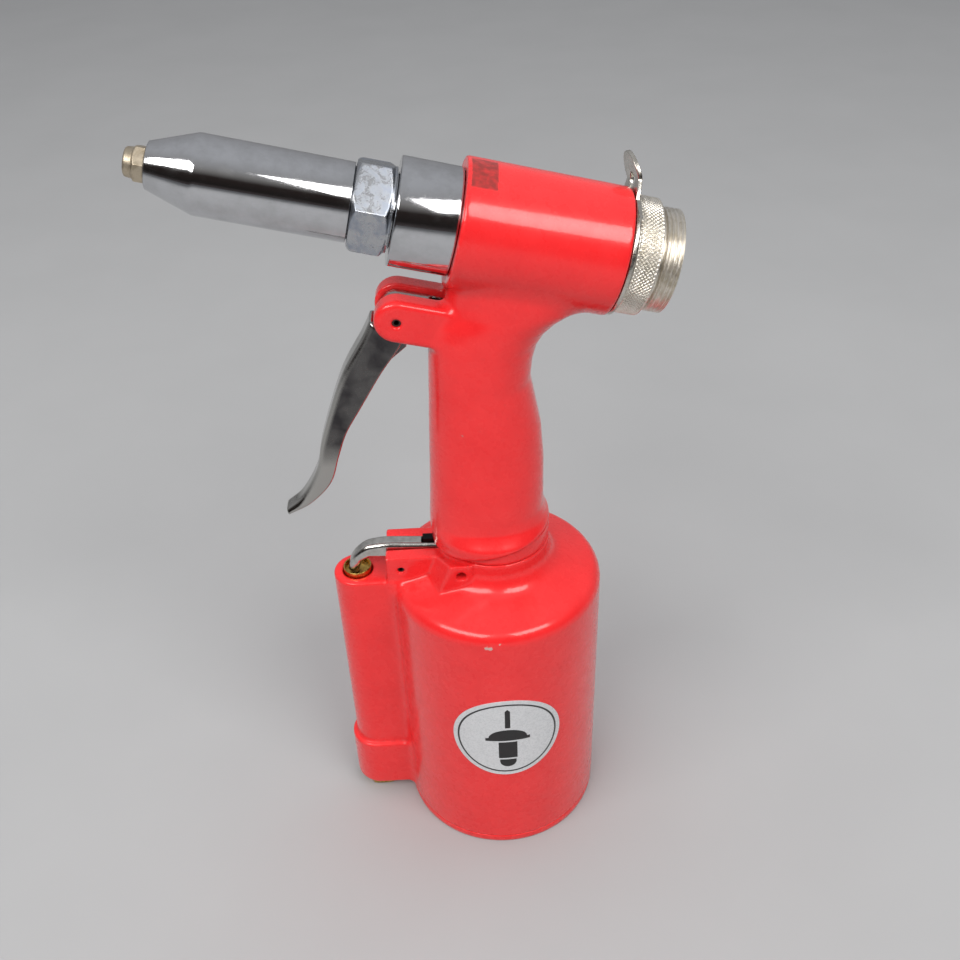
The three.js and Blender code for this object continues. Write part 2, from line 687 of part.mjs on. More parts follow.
function addPullingHead() {
  add(barrel, 'front_sleeve', frontSleeve(), chrome);
  add(barrel, 'front_sleeve_seal', solid(oRing(14.6, 3.3, 0.6)), rubber);
  add(barrel, 'rod_seal', solid(oRing(9.3, 7.1, 0.7)), rubber);
  add(barrel, 'head_lock_nut', headLockNut(), nickel);
  add(barrel, 'frame_head', frameHead(), chrome);
  add(barrel, 'nosepiece', nosepiece(), nickel);
}

// ---------------------------------------------------------------- pulling piston and jaws

function pullingPiston() {
  return solid(turned([
    [3.6, -40.5], [6, -40.5], [6, -17], [15.2, -17], [15.2, -13.4], [13.2, -13.4],
    [13.2, -10.6], [15.2, -10.6], [15.2, -7], [PISTON_ROD_RADIUS, -7], [PISTON_ROD_RADIUS, 53.1],
    [3.6, 53.1], [3.6, -40.5],
  ], MEDIUM));
}

function jawCaseAdapter() {
  return solid(turned([
    [7.5, 50.4], [CASE_RADIUS, 50.4], [CASE_RADIUS, 56.6], [7.7, 56.6], [7.7, 62], [6.5, 62], [6.5, 55.4],
    [4.2, 55.4], [4.2, 53.5], [7.5, 53.5], [7.5, 50.4],
  ], SMALL));
}

const JAW_CASE_MOUTH = 83;
const JAW_CONE_START = 66;

function coneRadius(height) {
  return 7.9 - (height - JAW_CONE_START) * Math.tan(JAW_SLOPE);
}

function jawCase() {
  return solid(turned([
    [8, 57], [CASE_RADIUS, 57], [CASE_RADIUS, 78.5], [6.8, JAW_CASE_MOUTH],
    [coneRadius(JAW_CASE_MOUTH), JAW_CASE_MOUTH], [coneRadius(JAW_CONE_START), JAW_CONE_START],
    [8, 64], [8, 57],
  ], MEDIUM));
}

const JAW_REAR = 69.4;
const JAW_FRONT = 79.3;

// One third of a cone with a round groove down its middle, centred on the angle given.
function jaw(angle) {
  const whole = turned([
    [1.9, JAW_REAR], [coneRadius(JAW_REAR) - GAP, JAW_REAR], [coneRadius(JAW_FRONT) - GAP, JAW_FRONT],
    [1.9, JAW_FRONT], [1.9, JAW_REAR],
  ], 24);
  const spread = Math.PI / 3 - 0.16;
  const sector = new THREE.Shape();
  sector.moveTo(0.5, 0);
  sector.lineTo(20 * Math.cos(-spread), 20 * Math.sin(-spread));
  sector.lineTo(24, 0);
  sector.lineTo(20 * Math.cos(spread), 20 * Math.sin(spread));
  sector.closePath();
  const wedge = new THREE.ExtrudeGeometry(sector, { depth: 30, bevelEnabled: false }).translate(0, 0, 60);
  return solid(whole).intersect(solid(wedge)).rotate([0, 0, THREE.MathUtils.radToDeg(angle)]);
}

function addPullingPiston() {
  add(barrel, 'pulling_piston', pullingPiston(), steel);
  add(barrel, 'pulling_piston_seal', solid(oRing(14.4, -12, 0.8)), rubber);
  add(barrel, 'return_spring', solid(coil(11, 1.1, -44.6, -18.6, 4.5)), steel);
  const lockNut = cut(solid(hexPrism(15.4, 46.4, 50)), solid(rod(7.5, 40, 60, SMALL)));
  add(barrel, 'adapter_lock_nut', lockNut, steel);
  add(barrel, 'jaw_case_adapter', jawCaseAdapter(), steel);
  add(barrel, 'jaw_case', jawCase(), steel);
  const pusher = turned([
    [3.2, 58], [4.4, 58], [4.4, 65.2], [6.6, 65.2], [6.6, 67.2], [4.6, 69.1], [3.2, 69.1], [3.2, 58],
  ], SMALL);
  add(barrel, 'jaw_pusher', solid(pusher), steel);
  add(barrel, 'jaw_pusher_spring', solid(coil(5.5, 0.5, 56.4, 64.3, 4)), steel);
  for (let number = 1; number <= 3; number++) {
    const angle = ((number - 1) * 2 * Math.PI) / 3;
    add(barrel, `jaw_${number}`, jaw(angle), steel);
  }
}

// ---------------------------------------------------------------- rear cap and hanger

const HANGER_REAR = -43.3;
const HANGER_THICK = 1.3;

const EAR_HALF_WIDTH = 7.4;
const EAR_BEND = 23.5;            // radius at which the ear starts to lean
const EAR_LEAN = THREE.MathUtils.degToRad(-29);
const EAR_TURN = THREE.MathUtils.degToRad(20); // round the barrel, from its top towards the far side
const EAR_STRAIGHT = 0.7;
const EYE_RADIUS = 3.15;
const EYE_PLACE = 22.3;

// The clamped ring, with an ear that stands up, then leans forward over the barrel.
function hanger() {
  const rim = HANGER_REAR + HANGER_THICK;
  const ring = tube(16.9, 19.4, HANGER_REAR, rim, LARGE);
  const root = block([16.2, -EAR_HALF_WIDTH, HANGER_REAR], [EAR_BEND, EAR_HALF_WIDTH, rim]);
  root.rotateZ(EAR_TURN);
  const outline = new THREE.Shape();
  outline.moveTo(0, -EAR_HALF_WIDTH);
  outline.absarc(EAR_STRAIGHT, 0, EAR_HALF_WIDTH, -Math.PI / 2, Math.PI / 2, false);
  outline.lineTo(0, EAR_HALF_WIDTH);
  outline.closePath();
  const leafOptions = { depth: HANGER_THICK, bevelEnabled: false, curveSegments: 10 };
  const leaf = new THREE.ExtrudeGeometry(outline, leafOptions);
  leaf.rotateY(EAR_LEAN).translate(EAR_BEND, 0, HANGER_REAR).rotateZ(EAR_TURN);
  const eye = rod(EYE_RADIUS, -6, 6, SMALL).rotateY(EAR_LEAN / 2);
  eye.translate(EYE_PLACE, 0, HANGER_REAR + HANGER_THICK / 2).rotateZ(EAR_TURN);
  return cut(
    union(solid(ring), solid(leaf), solid(root)),
    solid(rod(16.9, -60, -30, LARGE)),
    solid(eye),
  );
}

const THREAD_PITCH = 1.6;
const THREAD_START = -52;
const THREAD_END = -58.8;

function rearCap() {
  const crests = [];
  for (let z = THREAD_END + 0.3; z < THREAD_START - THREAD_PITCH; z += THREAD_PITCH) {
    crests.push([16.3, z + 0.5], [15.4, z + THREAD_PITCH]);
  }
  const profile = [
    [12.5, THREAD_END],
    [15.4, THREAD_END],
    ...crests,
    [15, THREAD_START + 0.2],
    [17.2, THREAD_START + 0.6],
    [18.3, THREAD_START + 1.4],
    [18.3, HANGER_REAR - GAP],
    [16.6, HANGER_REAR - GAP],
    [16.6, -36],
    [13.8, -36],
    [13.8, -46],
    [6.6, -46],
    [6.6, -50.5],
    [12.5, -50.5],
    [12.5, THREAD_END],
  ];
  return solid(turned(profile, LARGE));
}

function addRearParts() {
  add(barrel, 'hanger', hanger(), chrome);
  add(barrel, 'rear_cap', rearCap(), nickel);
}

// ---------------------------------------------------------------- bleed screw and badge

function addBleedScrew() {
  const centre = new THREE.Vector3(0, 0, 228);
  const screw = union(
    solid(crossPin(3.2, centre, 11, 16.6, SMALL)),
    solid(crossPin(4.6, centre, 16.4, 18.2, SMALL)),
  );
  const slot = block([-5, 17.3, 227.4], [5, 19, 228.6]);
  add(gun, 'bleed_screw', cut(screw, solid(slot)), steel);
}

const BADGE_RADIUS = 21.4;

// A round film that lies on the side of the cylinder.
function badge() {
  const film = tube(CYLINDER_RADIUS + 0.1, CYLINDER_RADIUS + 0.5, 40, 95, LARGE);
  const outline = crossPin(BADGE_RADIUS, new THREE.Vector3(1.3, 0, 66.5), -45, -25, MEDIUM);
  return solid(film).intersect(solid(outline));
}

// ---------------------------------------------------------------- assembly

add(gun, 'handle_frame', handleFrame(), redPaint);
add(gun, 'air_cylinder', airCylinder(), redPaint);
addAirMotor();
addRamGland();
addClampScrews();
addTriggerLinkage();
addAirValve();
addPullingHead();
addPullingPiston();
addRearParts();
addBleedScrew();
add(gun, 'badge', badge(), labelFilm);

export default gun;
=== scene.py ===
# An air-hydraulic blind rivet gun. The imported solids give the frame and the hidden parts. Each casting,
# forging and turned part that shows is made again here, with its real edges, fillets, knurl and thread.
# Lengths are in millimetres until they become vertices, at MM.

import json
import math

import bmesh
import bpy
import numpy as np
from mathutils import Matrix, Vector


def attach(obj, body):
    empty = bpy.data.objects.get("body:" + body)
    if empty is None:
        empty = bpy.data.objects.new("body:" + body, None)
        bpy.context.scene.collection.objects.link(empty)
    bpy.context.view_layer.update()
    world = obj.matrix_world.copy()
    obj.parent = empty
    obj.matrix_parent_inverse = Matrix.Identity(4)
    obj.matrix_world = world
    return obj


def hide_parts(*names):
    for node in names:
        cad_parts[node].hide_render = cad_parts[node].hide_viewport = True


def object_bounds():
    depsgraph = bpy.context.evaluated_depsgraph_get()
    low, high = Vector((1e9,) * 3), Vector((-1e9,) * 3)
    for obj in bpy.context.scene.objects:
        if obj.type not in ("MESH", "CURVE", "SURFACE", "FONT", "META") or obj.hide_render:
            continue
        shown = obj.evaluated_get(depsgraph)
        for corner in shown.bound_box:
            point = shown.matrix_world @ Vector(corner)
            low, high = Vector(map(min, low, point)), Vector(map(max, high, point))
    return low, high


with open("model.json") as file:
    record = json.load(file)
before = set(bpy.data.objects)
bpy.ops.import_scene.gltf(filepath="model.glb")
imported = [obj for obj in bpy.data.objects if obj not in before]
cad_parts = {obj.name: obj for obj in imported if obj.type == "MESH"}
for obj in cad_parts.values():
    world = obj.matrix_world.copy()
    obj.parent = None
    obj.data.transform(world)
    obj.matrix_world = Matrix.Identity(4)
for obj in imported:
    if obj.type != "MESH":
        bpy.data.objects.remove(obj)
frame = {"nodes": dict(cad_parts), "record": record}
CAD_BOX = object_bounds()
MM = 0.001

# -------- places that the parts share

TILT = math.radians(14)  # the barrel's rise towards the nose
BARREL_HEIGHT = 258.0
BARREL_RADIUS = 20.0
BARREL_FRONT = 9.4
BARREL_REAR = -41.7
AHEAD = Vector((-math.cos(TILT), 0, math.sin(TILT)))
UPWARD = Vector((math.sin(TILT), 0, math.cos(TILT)))
# Barrel space: +Z forward along the pulling axis, +X on the barrel's upward side, in millimetres.
BARREL = Matrix((
    (UPWARD.x, 0, AHEAD.x, 0),
    (0, 1, 0, 0),
    (UPWARD.z, 0, AHEAD.z, BARREL_HEIGHT),
    (0, 0, 0, 1),
))
UPRIGHT = Matrix.Identity(4)

NECK_RADIUS = 20.2
SPIGOT_RADIUS = 14.5
CYLINDER_RADIUS = 40.0
HOUSING_X = -52.6  # the axis of the valve housing
# Pins and screws, in X and Z, and the radii of their holes.
PIVOT = (-29.1, 231.8)  # the trigger's pin
PIVOT_HOLE = 1.5
EAR_RADIUS = 7.26  # of the ears that carry it
EAR_LENGTH = 24.0
ROD_TOP = (-14.3, 231.0)  # where the rod hangs from the trigger
ROD_FOOT = (-19.0, 132.5)  # where it meets the valve lever
ROD_HOLE = 1.1
LEVER_PIVOT = (-35.6, 127.5)
LEVER_HOLE = 1.3
CLAMP_SCREW = (-13.2, 131.9)
SCREW_HOLE = 1.9
BLEED_SCREW = (0.0, 228.0)
BLEED_HOLE = 3.4


# -------- distance fields

# A field is negative inside the solid and positive outside, in millimetres.

def join(a, b, fillet=0.0):
    """The union of two fields, with a fillet of that radius in the corner between them."""
    if not fillet:
        return np.minimum(a, b)
    corner = np.hypot(np.maximum(fillet - a, 0), np.maximum(fillet - b, 0))
    return np.maximum(fillet, np.minimum(a, b)) - corner


def meet(a, b, edge=0.0):
    """What two fields share, with its edge rounded to that radius."""
    return -join(-a, -b, edge)


def cut(a, b, edge=0.0):
    """The first field with the second taken out."""
    return meet(a, -b, edge)


def between(value, low, high):
    """The slab from low to high."""
    return np.abs(value - (low + high) / 2) - (high - low) / 2


def box2(a, b, a_range, b_range):
    """A rectangle in two of the axes."""
    return np.maximum(between(a, *a_range), between(b, *b_range))


def disc2(a, b, centre, radius):
    """A disc in two of the axes."""
    return np.hypot(a - centre[0], b - centre[1]) - radius


def bar2(a, b, start, end, radius):
    """A round-ended bar in two of the axes."""
    along = np.array(end, float) - np.array(start, float)
    t = ((a - start[0]) * along[0] + (b - start[1]) * along[1]) / max(along @ along, 1e-9)
    t = np.clip(t, 0, 1)
    return np.hypot(a - start[0] - t * along[0], b - start[1] - t * along[1]) - radius


def rod_between(x, y, z, start, end, radius):
    """A round-ended rod between two points in space."""
    start, along = np.array(start, float), np.array(end, float) - np.array(start, float)
    t = ((x - start[0]) * along[0] + (y - start[1]) * along[1] + (z - start[2]) * along[2]) / (along @ along)
    t = np.clip(t, 0, 1)
    gap = [c - s - t * d for c, s, d in zip((x, y, z), start, along)]
    return np.sqrt(gap[0] ** 2 + gap[1] ** 2 + gap[2] ** 2) - radius


def outline2(a, b, points):
    """The signed distance to a closed outline, in two of the axes."""
    a, b = np.broadcast_arrays(a, b)
    nearest = np.full(a.shape, 1e9)
    crossings = np.zeros(a.shape, bool)
    for (p0, q0), (p1, q1) in zip(points, points[1:] + points[:1]):
        dp, dq = p1 - p0, q1 - q0
        t = np.clip(((a - p0) * dp + (b - q0) * dq) / max(dp * dp + dq * dq, 1e-12), 0, 1)
        nearest = np.minimum(nearest, (a - p0 - t * dp) ** 2 + (b - q0 - t * dq) ** 2)
        if dq:
            crossings ^= ((q0 > b) != (q1 > b)) & (a < dp * (b - q0) / dq + p0)
    return np.sqrt(nearest) * np.where(crossings, -1, 1)


def curve_through(points, steps=6):
    """A smooth open line through the points given."""
    pts = [np.array(p, float) for p in points]
    pts = [2 * pts[0] - pts[1]] + pts + [2 * pts[-1] - pts[-2]]
    line = []
    for a, b, c, d in zip(pts, pts[1:], pts[2:], pts[3:]):
        for i in range(steps):
            t = i / steps
            line.append(tuple(0.5 * (2 * b + (c - a) * t + (2 * a - 5 * b + 4 * c - d) * t * t
                                     + (3 * b - a - 3 * c + d) * t ** 3)))
    return line + [tuple(pts[-2])]


def circle(radius, count=96, centre=(0, 0), start=0.0, end=2 * math.pi):
    """Points round an arc. A whole turn leaves out the last, which would repeat the first."""
    angles = np.linspace(start, end, count, endpoint=abs(end - start) < 6.28)
    return [(centre[0] + radius * math.cos(a), centre[1] + radius * math.sin(a)) for a in angles]


class Block:
    """A block of space to carve in, sampled every step, in its own axes."""

    def __init__(self, low, high, step, space=UPRIGHT):
        self.low = np.array(low, float) - 2 * step
        self.step, self.space = step, space
        axes = [np.arange(lo, hi + 3 * step, step) for lo, hi in zip(self.low, high)]
        self.axes = np.meshgrid(*axes, indexing="ij", sparse=True)
        self.shape = tuple(len(axis) for axis in axes)

    def even(self, field):
        """Scales a field so that it grows by one a millimetre."""
        field = np.broadcast_to(field, self.shape)
        slope = np.sqrt(sum(g * g for g in np.gradient(field, self.step)))
        return field / np.maximum(slope, 0.02)

    def sample(self, field, points):
        """The field between its samples, at points given in samples."""
        base = np.clip(np.floor(points).astype(int), 0, np.array(field.shape) - 2)
        part = points - base
        value = 0
        for corner in np.ndindex(2, 2, 2):
            weight = np.prod(np.where(corner, part, 1 - part), axis=1)
            i, j, k = (base + corner).T
            value = value + weight * field[i, j, k]
        return value

    def mesh(self, name, field):
        """The surface where the field is zero: a point in each sample cell it crosses, moved on to it."""
        field = np.ascontiguousarray(np.broadcast_to(field, self.shape), float)
        inside = field < 0
        total = sum(inside[i:i - 1 or None, j:j - 1 or None, k:k - 1 or None].astype(np.uint8)
                    for i, j, k in np.ndindex(2, 2, 2))
        active = (total > 0) & (total < 8)
        cells = np.argwhere(active)
        number = np.full(active.shape, -1, int)
        number[active] = np.arange(len(cells))

        quads = []
        for axis in range(3):
            others = [(axis + 1) % 3, (axis + 2) % 3]
            here = [slice(1, -1)] * 3
            ahead = [slice(1, -1)] * 3
            here[axis], ahead[axis] = slice(0, -1), slice(1, None)
            crossed = inside[tuple(here)] != inside[tuple(ahead)]
            offset = np.ones(3, int)
            offset[axis] = 0
            edges = np.argwhere(crossed) + offset
            leaving = inside[tuple(edges.T)]
            a, b = np.eye(3, dtype=int)[others[0]], np.eye(3, dtype=int)[others[1]]
            ring = [edges - a - b, edges - b, edges, edges - a]
            quad = np.stack([number[tuple(cell.T)] for cell in ring], axis=1)
            quad[~leaving] = quad[~leaving][:, ::-1]
            quads.append(quad)
        quads = np.concatenate(quads)

        points = cells + 0.5
        reach, longest = 0.5, 0.6
        for _ in range(5):
            value = self.sample(field, points)
            slope = np.stack([self.sample(field, points + d) - self.sample(field, points - d)
                              for d in np.eye(3) * reach], axis=1) / (2 * reach)
            shift = slope * (value / np.maximum((slope * slope).sum(1), 1e-6))[:, None]
            points = points - np.clip(shift, -longest, longest)

        # How sharply the surface bends, over about a millimetre: edges wear, and hollows are painted darker
        # as painted shade.
        wide = max(1.0, 1.2 / self.step)
        around = sum(self.sample(field, points + d) + self.sample(field, points - d)
                     for d in np.eye(3) * wide)
        bend = (around - 6 * self.sample(field, points)) / (wide * wide * self.step)

        place = self.low + points * self.step
        world = place @ np.array(self.space.to_3x3()).T + np.array(self.space.translation)
        mesh = bpy.data.meshes.new(name)
        mesh.from_pydata((world * MM).tolist(), [], quads.tolist())
        for label, values in (("wear", bend), ("hollow", -bend)):
            attribute = mesh.attributes.new(label, "FLOAT", "POINT")
            attribute.data.foreach_set("value", np.clip(values, 0, 2).astype(np.float32))
        mesh.polygons.foreach_set("use_smooth", [True] * len(mesh.polygons))
        return add_object(name, mesh)


def add_object(name, mesh):
    mesh.validate()
    mesh.update()
    obj = bpy.data.objects.new(name, mesh)
    bpy.context.scene.collection.objects.link(obj)
    return obj


# -------- turned parts

def soften(profile, edge=0.25, steps=3):
    """A profile of (radius, height) with each corner off the axis rounded."""
    rounded = []
    count = len(profile)
    closed = profile[0][0] > 0 and profile[-1][0] > 0
    for i, point in enumerate(profile):
        p = Vector(point[:2])
        radius = point[2] if len(point) > 2 else edge
        if not closed and i in (0, count - 1):
            rounded.append(tuple(p))
            continue
        before = Vector(profile[i - 1][:2]) - p
        after = Vector(profile[(i + 1) % count][:2]) - p
        size = min(radius, 0.45 * before.length, 0.45 * after.length)
        bend = before.angle(after, math.pi)
        if size < 0.02 or bend > math.radians(172):
            rounded.append(tuple(p))
            continue
        start, end = p + before.normalized() * size, p + after.normalized() * size
        for step in range(steps + 1):
            t = step / steps
            rounded.append(tuple((1 - t) ** 2 * start + 2 * t * (1 - t) * p + t * t * end))
    return rounded


def turn(name, profile, space=UPRIGHT, facets=160, shape=None):
    """Turns a profile about +Z of the space. shape(radius, height, angle) may move a point's radius.
    A profile that starts and ends on the axis closes there, and any other closes on itself."""
    angles = np.arange(facets) * 2 * math.pi / facets
    points, rings = [], []
    for radius, height in profile:
        if radius < 1e-6:
            rings.append([len(points)] * facets)
            points.append((0, 0, height))
            continue
        radii = np.full(facets, radius) if shape is None else shape(radius, height, angles)
        rings.append(range(len(points), len(points) + facets))
        points.extend(zip(radii * np.cos(angles), radii * np.sin(angles), [height] * facets))
    closed = profile[0][0] > 1e-6
    faces = []
    for low, high in zip(rings, rings[1:] + rings[:1] if closed else rings[1:]):
        for i in range(facets):
            j = (i + 1) % facets
            corners = list(dict.fromkeys((low[i], low[j], high[j], high[i])))
            faces.append(corners)
    mesh = bpy.data.meshes.new(name)
    mesh.from_pydata([tuple((space @ Vector(p)) * MM) for p in points], [], faces)
    return finished(name, mesh)


def finished(name, mesh, angle=38):
    """Points every face outward and smooths all but the sharp edges."""
    work = bmesh.new()
    work.from_mesh(mesh)
    bmesh.ops.recalc_face_normals(work, faces=work.faces)
    work.to_mesh(mesh)
    work.free()
    mesh.polygons.foreach_set("use_smooth", [True] * len(mesh.polygons))
    mesh.set_sharp_from_angle(angle=math.radians(angle))
    return add_object(name, mesh)


# -------- materials

class Paint:
    """Builds one node material. Patterns take object coordinates in millimetres."""

    def __init__(self, name, **sockets):
        self.material = bpy.data.materials.new(name)
        self.material.use_nodes = True
        self.tree = self.material.node_tree
        self.shader = self.tree.nodes["Principled BSDF"]
        for socket, value in sockets.items():
            self.shader.inputs[socket.replace("_", " ")].default_value = value
        coordinates = self.tree.nodes.new("ShaderNodeTexCoord").outputs["Object"]
        self.place = self.vector("SCALE", coordinates, Scale=1000)

    def node(self, kind, inputs, **settings):
        node = self.tree.nodes.new(kind)
        for key, value in settings.items():
            setattr(node, key, value)
        for key, value in inputs.items():
            if isinstance(value, bpy.types.NodeSocket):
                self.tree.links.new(value, node.inputs[key])
            else:
                node.inputs[key].default_value = value
        return node

    def vector(self, operation, a, b=None, **inputs):
        inputs[0] = a
        if b is not None:
            inputs[1] = b
        return self.node("ShaderNodeVectorMath", inputs, operation=operation).outputs[
            "Value" if operation in ("DOT_PRODUCT", "DISTANCE", "LENGTH") else "Vector"]

    def math(self, operation, a, b=0.0, c=0.0):
        return self.node("ShaderNodeMath", {0: a, 1: b, 2: c}, operation=operation).outputs[0]

    def stretched(self, scale, rotation=(0, 0, 0)):
        inputs = {"Vector": self.place, "Scale": scale, "Rotation": rotation}
        return self.node("ShaderNodeMapping", inputs).outputs[0]

    def noise(self, scale, detail=3.0, roughness=0.55, vector=None, distortion=0.0):
        inputs = {"Vector": vector or self.place, "Scale": scale, "Detail": detail,
                  "Roughness": roughness, "Distortion": distortion}
        return self.node("ShaderNodeTexNoise", inputs).outputs["Fac"]

    def range(self, value, low, high, to_low=0.0, to_high=1.0):
        inputs = {"Value": value, "From Min": low, "From Max": high, "To Min": to_low, "To Max": to_high}
        return self.node("ShaderNodeMapRange", inputs).outputs["Result"]

    def blend(self, factor, a, b):
        inputs = {0: factor, 6: a, 7: b}
        return self.node("ShaderNodeMix", inputs, data_type="RGBA").outputs[2]

    def attribute(self, name):
        return self.node("ShaderNodeAttribute", {}, attribute_name=name).outputs["Fac"]

    def bump(self, height, strength, distance=0.05, normal=None):
        inputs = {"Height": height, "Strength": strength, "Distance": distance * MM}
        if normal is not None:
            inputs["Normal"] = normal
        return self.node("ShaderNodeBump", inputs).outputs["Normal"]

    def set(self, **sockets):
        for socket, value in sockets.items():
            target = self.shader.inputs[socket.replace("_", " ")]
            if isinstance(value, bpy.types.NodeSocket):
                self.tree.links.new(value, target)
            else:
                target.default_value = value
        return self.material


def rgb(red, green, blue):
    """A colour as seen, from 0 to 255, in the shader's linear values."""
    return tuple((v / 255 / 12.92) if v <= 10.3 else ((v / 255 + 0.055) / 1.055) ** 2.4
                 for v in (red, green, blue)) + (1.0,)


def scratches(paint, across, along, amount, low=0.62):
    """Fine straight marks that run along the second direction given, as a mask."""
    marks = []
    for turn_by in (0.15, -0.5, 1.1):
        vector = paint.stretched((across, along, across * 0.6), (0, turn_by, turn_by * 0.7))
        marks.append(paint.range(paint.noise(1.0, 2.0, 0.5, vector), low, low + 0.05))
    mask = paint.math("MAXIMUM", paint.math("MAXIMUM", marks[0], marks[1]), marks[2])
    patches = paint.range(paint.noise(0.06, 2.0), 0.45, 0.62)
    return paint.math("MULTIPLY", paint.math("MULTIPLY", mask, patches), amount)


CHIPS = [  # (place, radius) of each chip in the paint
    ((-9.9, -38.2, 120.0), 0.75),
    ((-4.2, -39.7, 115.6), 0.8),
    ((-5.4, -39.6, 115.8), 0.7),
    ((-0.7, -40.0, 117.6), 0.35),
    ((-10.4, -16.2, 192.0), 0.55),
    ((-61.3, -2.0, 88.0), 0.6),
    ((-40.8, -9.0, 133.2), 0.4),
    ((20.0, 34.6, 120.6), 0.8),
    ((38.9, 9.0, 30.0), 0.6),
    ((22.6, 31.0, 6.0), 0.9),
    ((17.5, 16.4, 258.0), 0.6),
]


def chips(paint):
    """A mask of the chips listed and of the edges where the paint has rubbed through."""
    chipped = paint.math("MULTIPLY", paint.range(paint.attribute("wear"), 0.55, 1.3),
                         paint.range(paint.noise(0.45, 6.0, 0.7), 0.60, 0.66))
    ragged = paint.range(paint.noise(1.6, 3.0), 0.2, 0.8, -0.5, 0.5)
    for place, radius in CHIPS:
        away = paint.math("ADD", paint.vector("DISTANCE", paint.place, place), ragged)
        chipped = paint.math("MAXIMUM", chipped, paint.range(away, radius + 0.12, radius - 0.05))
    return chipped


def label_glue(paint):
    """A mask of the glue that an old label left on top of the barrel's front."""
    place = paint.vector("SUBTRACT", paint.place, (0, 0, BARREL_HEIGHT))
    ahead, up, near = (paint.vector("DOT_PRODUCT", place, tuple(way))
                       for way in (AHEAD, UPWARD, (0, -1, 0)))
    angle = paint.math("ARCTAN2", near, up)
    ahead = paint.math("ADD", ahead, paint.range(paint.noise(0.9, 4.0), 0.0, 1.0, -0.35, 0.35))
    along = paint.math("MULTIPLY", paint.range(ahead, 0.2, 0.6), paint.range(ahead, 8.5, 8.1))
    around = paint.math("MULTIPLY", paint.range(angle, -0.12, -0.08), paint.range(angle, 0.62, 0.58))
    outer = paint.range(paint.math("MAXIMUM", up, 0.0), 12.0, 13.0)
    glue = paint.math("MULTIPLY", paint.math("MULTIPLY", along, around), outer)
    return paint.math("MULTIPLY", glue, paint.range(paint.noise(0.5, 3.0, 0.5), 0.3, 0.6, 0.5, 0.85))


def red_paint():
    paint = Paint("red_paint", Coat_Weight=0.6, Coat_Roughness=0.1, Coat_IOR=1.45,
                  Specular_IOR_Level=0.25)
    mottle = paint.noise(0.09, 4.0, 0.6)
    red = paint.blend(paint.range(mottle, 0.3, 0.7), rgb(236, 40, 43), rgb(244, 48, 50))
    # The paint is darkened in its hollows, in patches: painted shade.
    hollow = paint.range(paint.attribute("hollow"), 0.25, 1.2, 0.0, 0.55)
    hollow_shade = paint.math("MULTIPLY", hollow, paint.range(paint.noise(0.5, 5.0), 0.35, 0.65))
    red = paint.blend(hollow_shade, red, rgb(120, 22, 22))
    smears = paint.math("MULTIPLY", paint.range(paint.noise(0.35, 5.0, 0.7), 0.62, 0.72), 0.10)
    red = paint.blend(smears, red, rgb(150, 70, 60))

    chipped = chips(paint)
    colour = paint.blend(chipped, red, rgb(206, 170, 162))
    glue = label_glue(paint)
    colour = paint.blend(glue, colour, rgb(112, 42, 36))

    rough = paint.range(paint.noise(0.25, 4.0), 0.3, 0.7, 0.22, 0.34)
    rough = paint.math("ADD", rough, paint.math("MULTIPLY", chipped, 0.3))
    rough = paint.math("ADD", rough, paint.math("MULTIPLY", glue, 0.35))
    peel = paint.noise(0.8, 2.0, 0.4)
    height = paint.math("SUBTRACT", peel, paint.math("MULTIPLY", chipped, 3.0))
    height = paint.math("SUBTRACT", height, scratches(paint, 3.0, 0.15, 0.8))
    return paint.set(Base_Color=colour, Roughness=rough, Normal=paint.bump(height, 0.06, 0.2))


def chrome(name, tint=(198, 199, 202), rough=0.06, amount=0.5):
    paint = Paint(name, Metallic=1.0)
    haze = paint.range(paint.noise(0.16, 5.0, 0.65), 0.42, 0.72)
    marks = scratches(paint, 4.0, 0.12, amount)
    fine = paint.noise(2.4, 4.0, 0.7)
    roughness = paint.math("ADD", paint.range(haze, 0, 1, rough, rough + 0.09),
                           paint.math("MULTIPLY", marks, 0.2))
    colour = paint.blend(haze, rgb(*tint), rgb(*(int(v * 0.93) for v in tint)))
    height = paint.math("SUBTRACT", paint.math("MULTIPLY", fine, 0.15), marks)
    return paint.set(Base_Color=colour, Roughness=roughness, Normal=paint.bump(height, 0.08, 0.05))


def nickel(name, tint=(232, 227, 218), stain_and_dark_reflection=(206, 199, 184), rough=0.28):
    paint = Paint(name, Metallic=1.0)
    blotch = paint.range(paint.noise(0.35, 6.0, 0.7), 0.45, 0.7)
    specks = paint.range(paint.noise(1.8, 3.0, 0.6), 0.68, 0.74)
    colour = paint.blend(blotch, rgb(*tint), rgb(*stain_and_dark_reflection))
    colour = paint.blend(paint.math("MULTIPLY", specks, 0.5), colour, rgb(96, 84, 66))
    roughness = paint.range(paint.noise(0.8, 5.0), 0.3, 0.7, rough, rough + 0.14)
    roughness = paint.math("ADD", roughness, paint.math("MULTIPLY", specks, 0.15))
    height = paint.math("ADD", paint.noise(3.0, 4.0, 0.6), scratches(paint, 5.0, 0.2, 0.6))
    return paint.set(Base_Color=colour, Roughness=roughness, Normal=paint.bump(height, 0.14, 0.05))


def nut_steel():
    """Satin nickel with the blue-grey bloom of a flat that spanners have held."""
    paint = Paint("nut_steel", Metallic=1.0)
    bloom = paint.range(paint.noise(0.22, 6.0, 0.75, distortion=0.6), 0.42, 0.62)
    colour = paint.blend(bloom, rgb(182, 184, 187), rgb(156, 163, 175))
    specks = paint.range(paint.noise(1.2, 5.0, 0.7), 0.62, 0.70)
    colour = paint.blend(paint.math("MULTIPLY", specks, 0.6), colour, rgb(86, 84, 84))
    roughness = paint.range(bloom, 0, 1, 0.2, 0.42)
    height = paint.math("ADD", paint.noise(2.0, 5.0, 0.65), scratches(paint, 4.0, 0.2, 0.8))
    return paint.set(Base_Color=colour, Roughness=roughness, Normal=paint.bump(height, 0.16, 0.06))


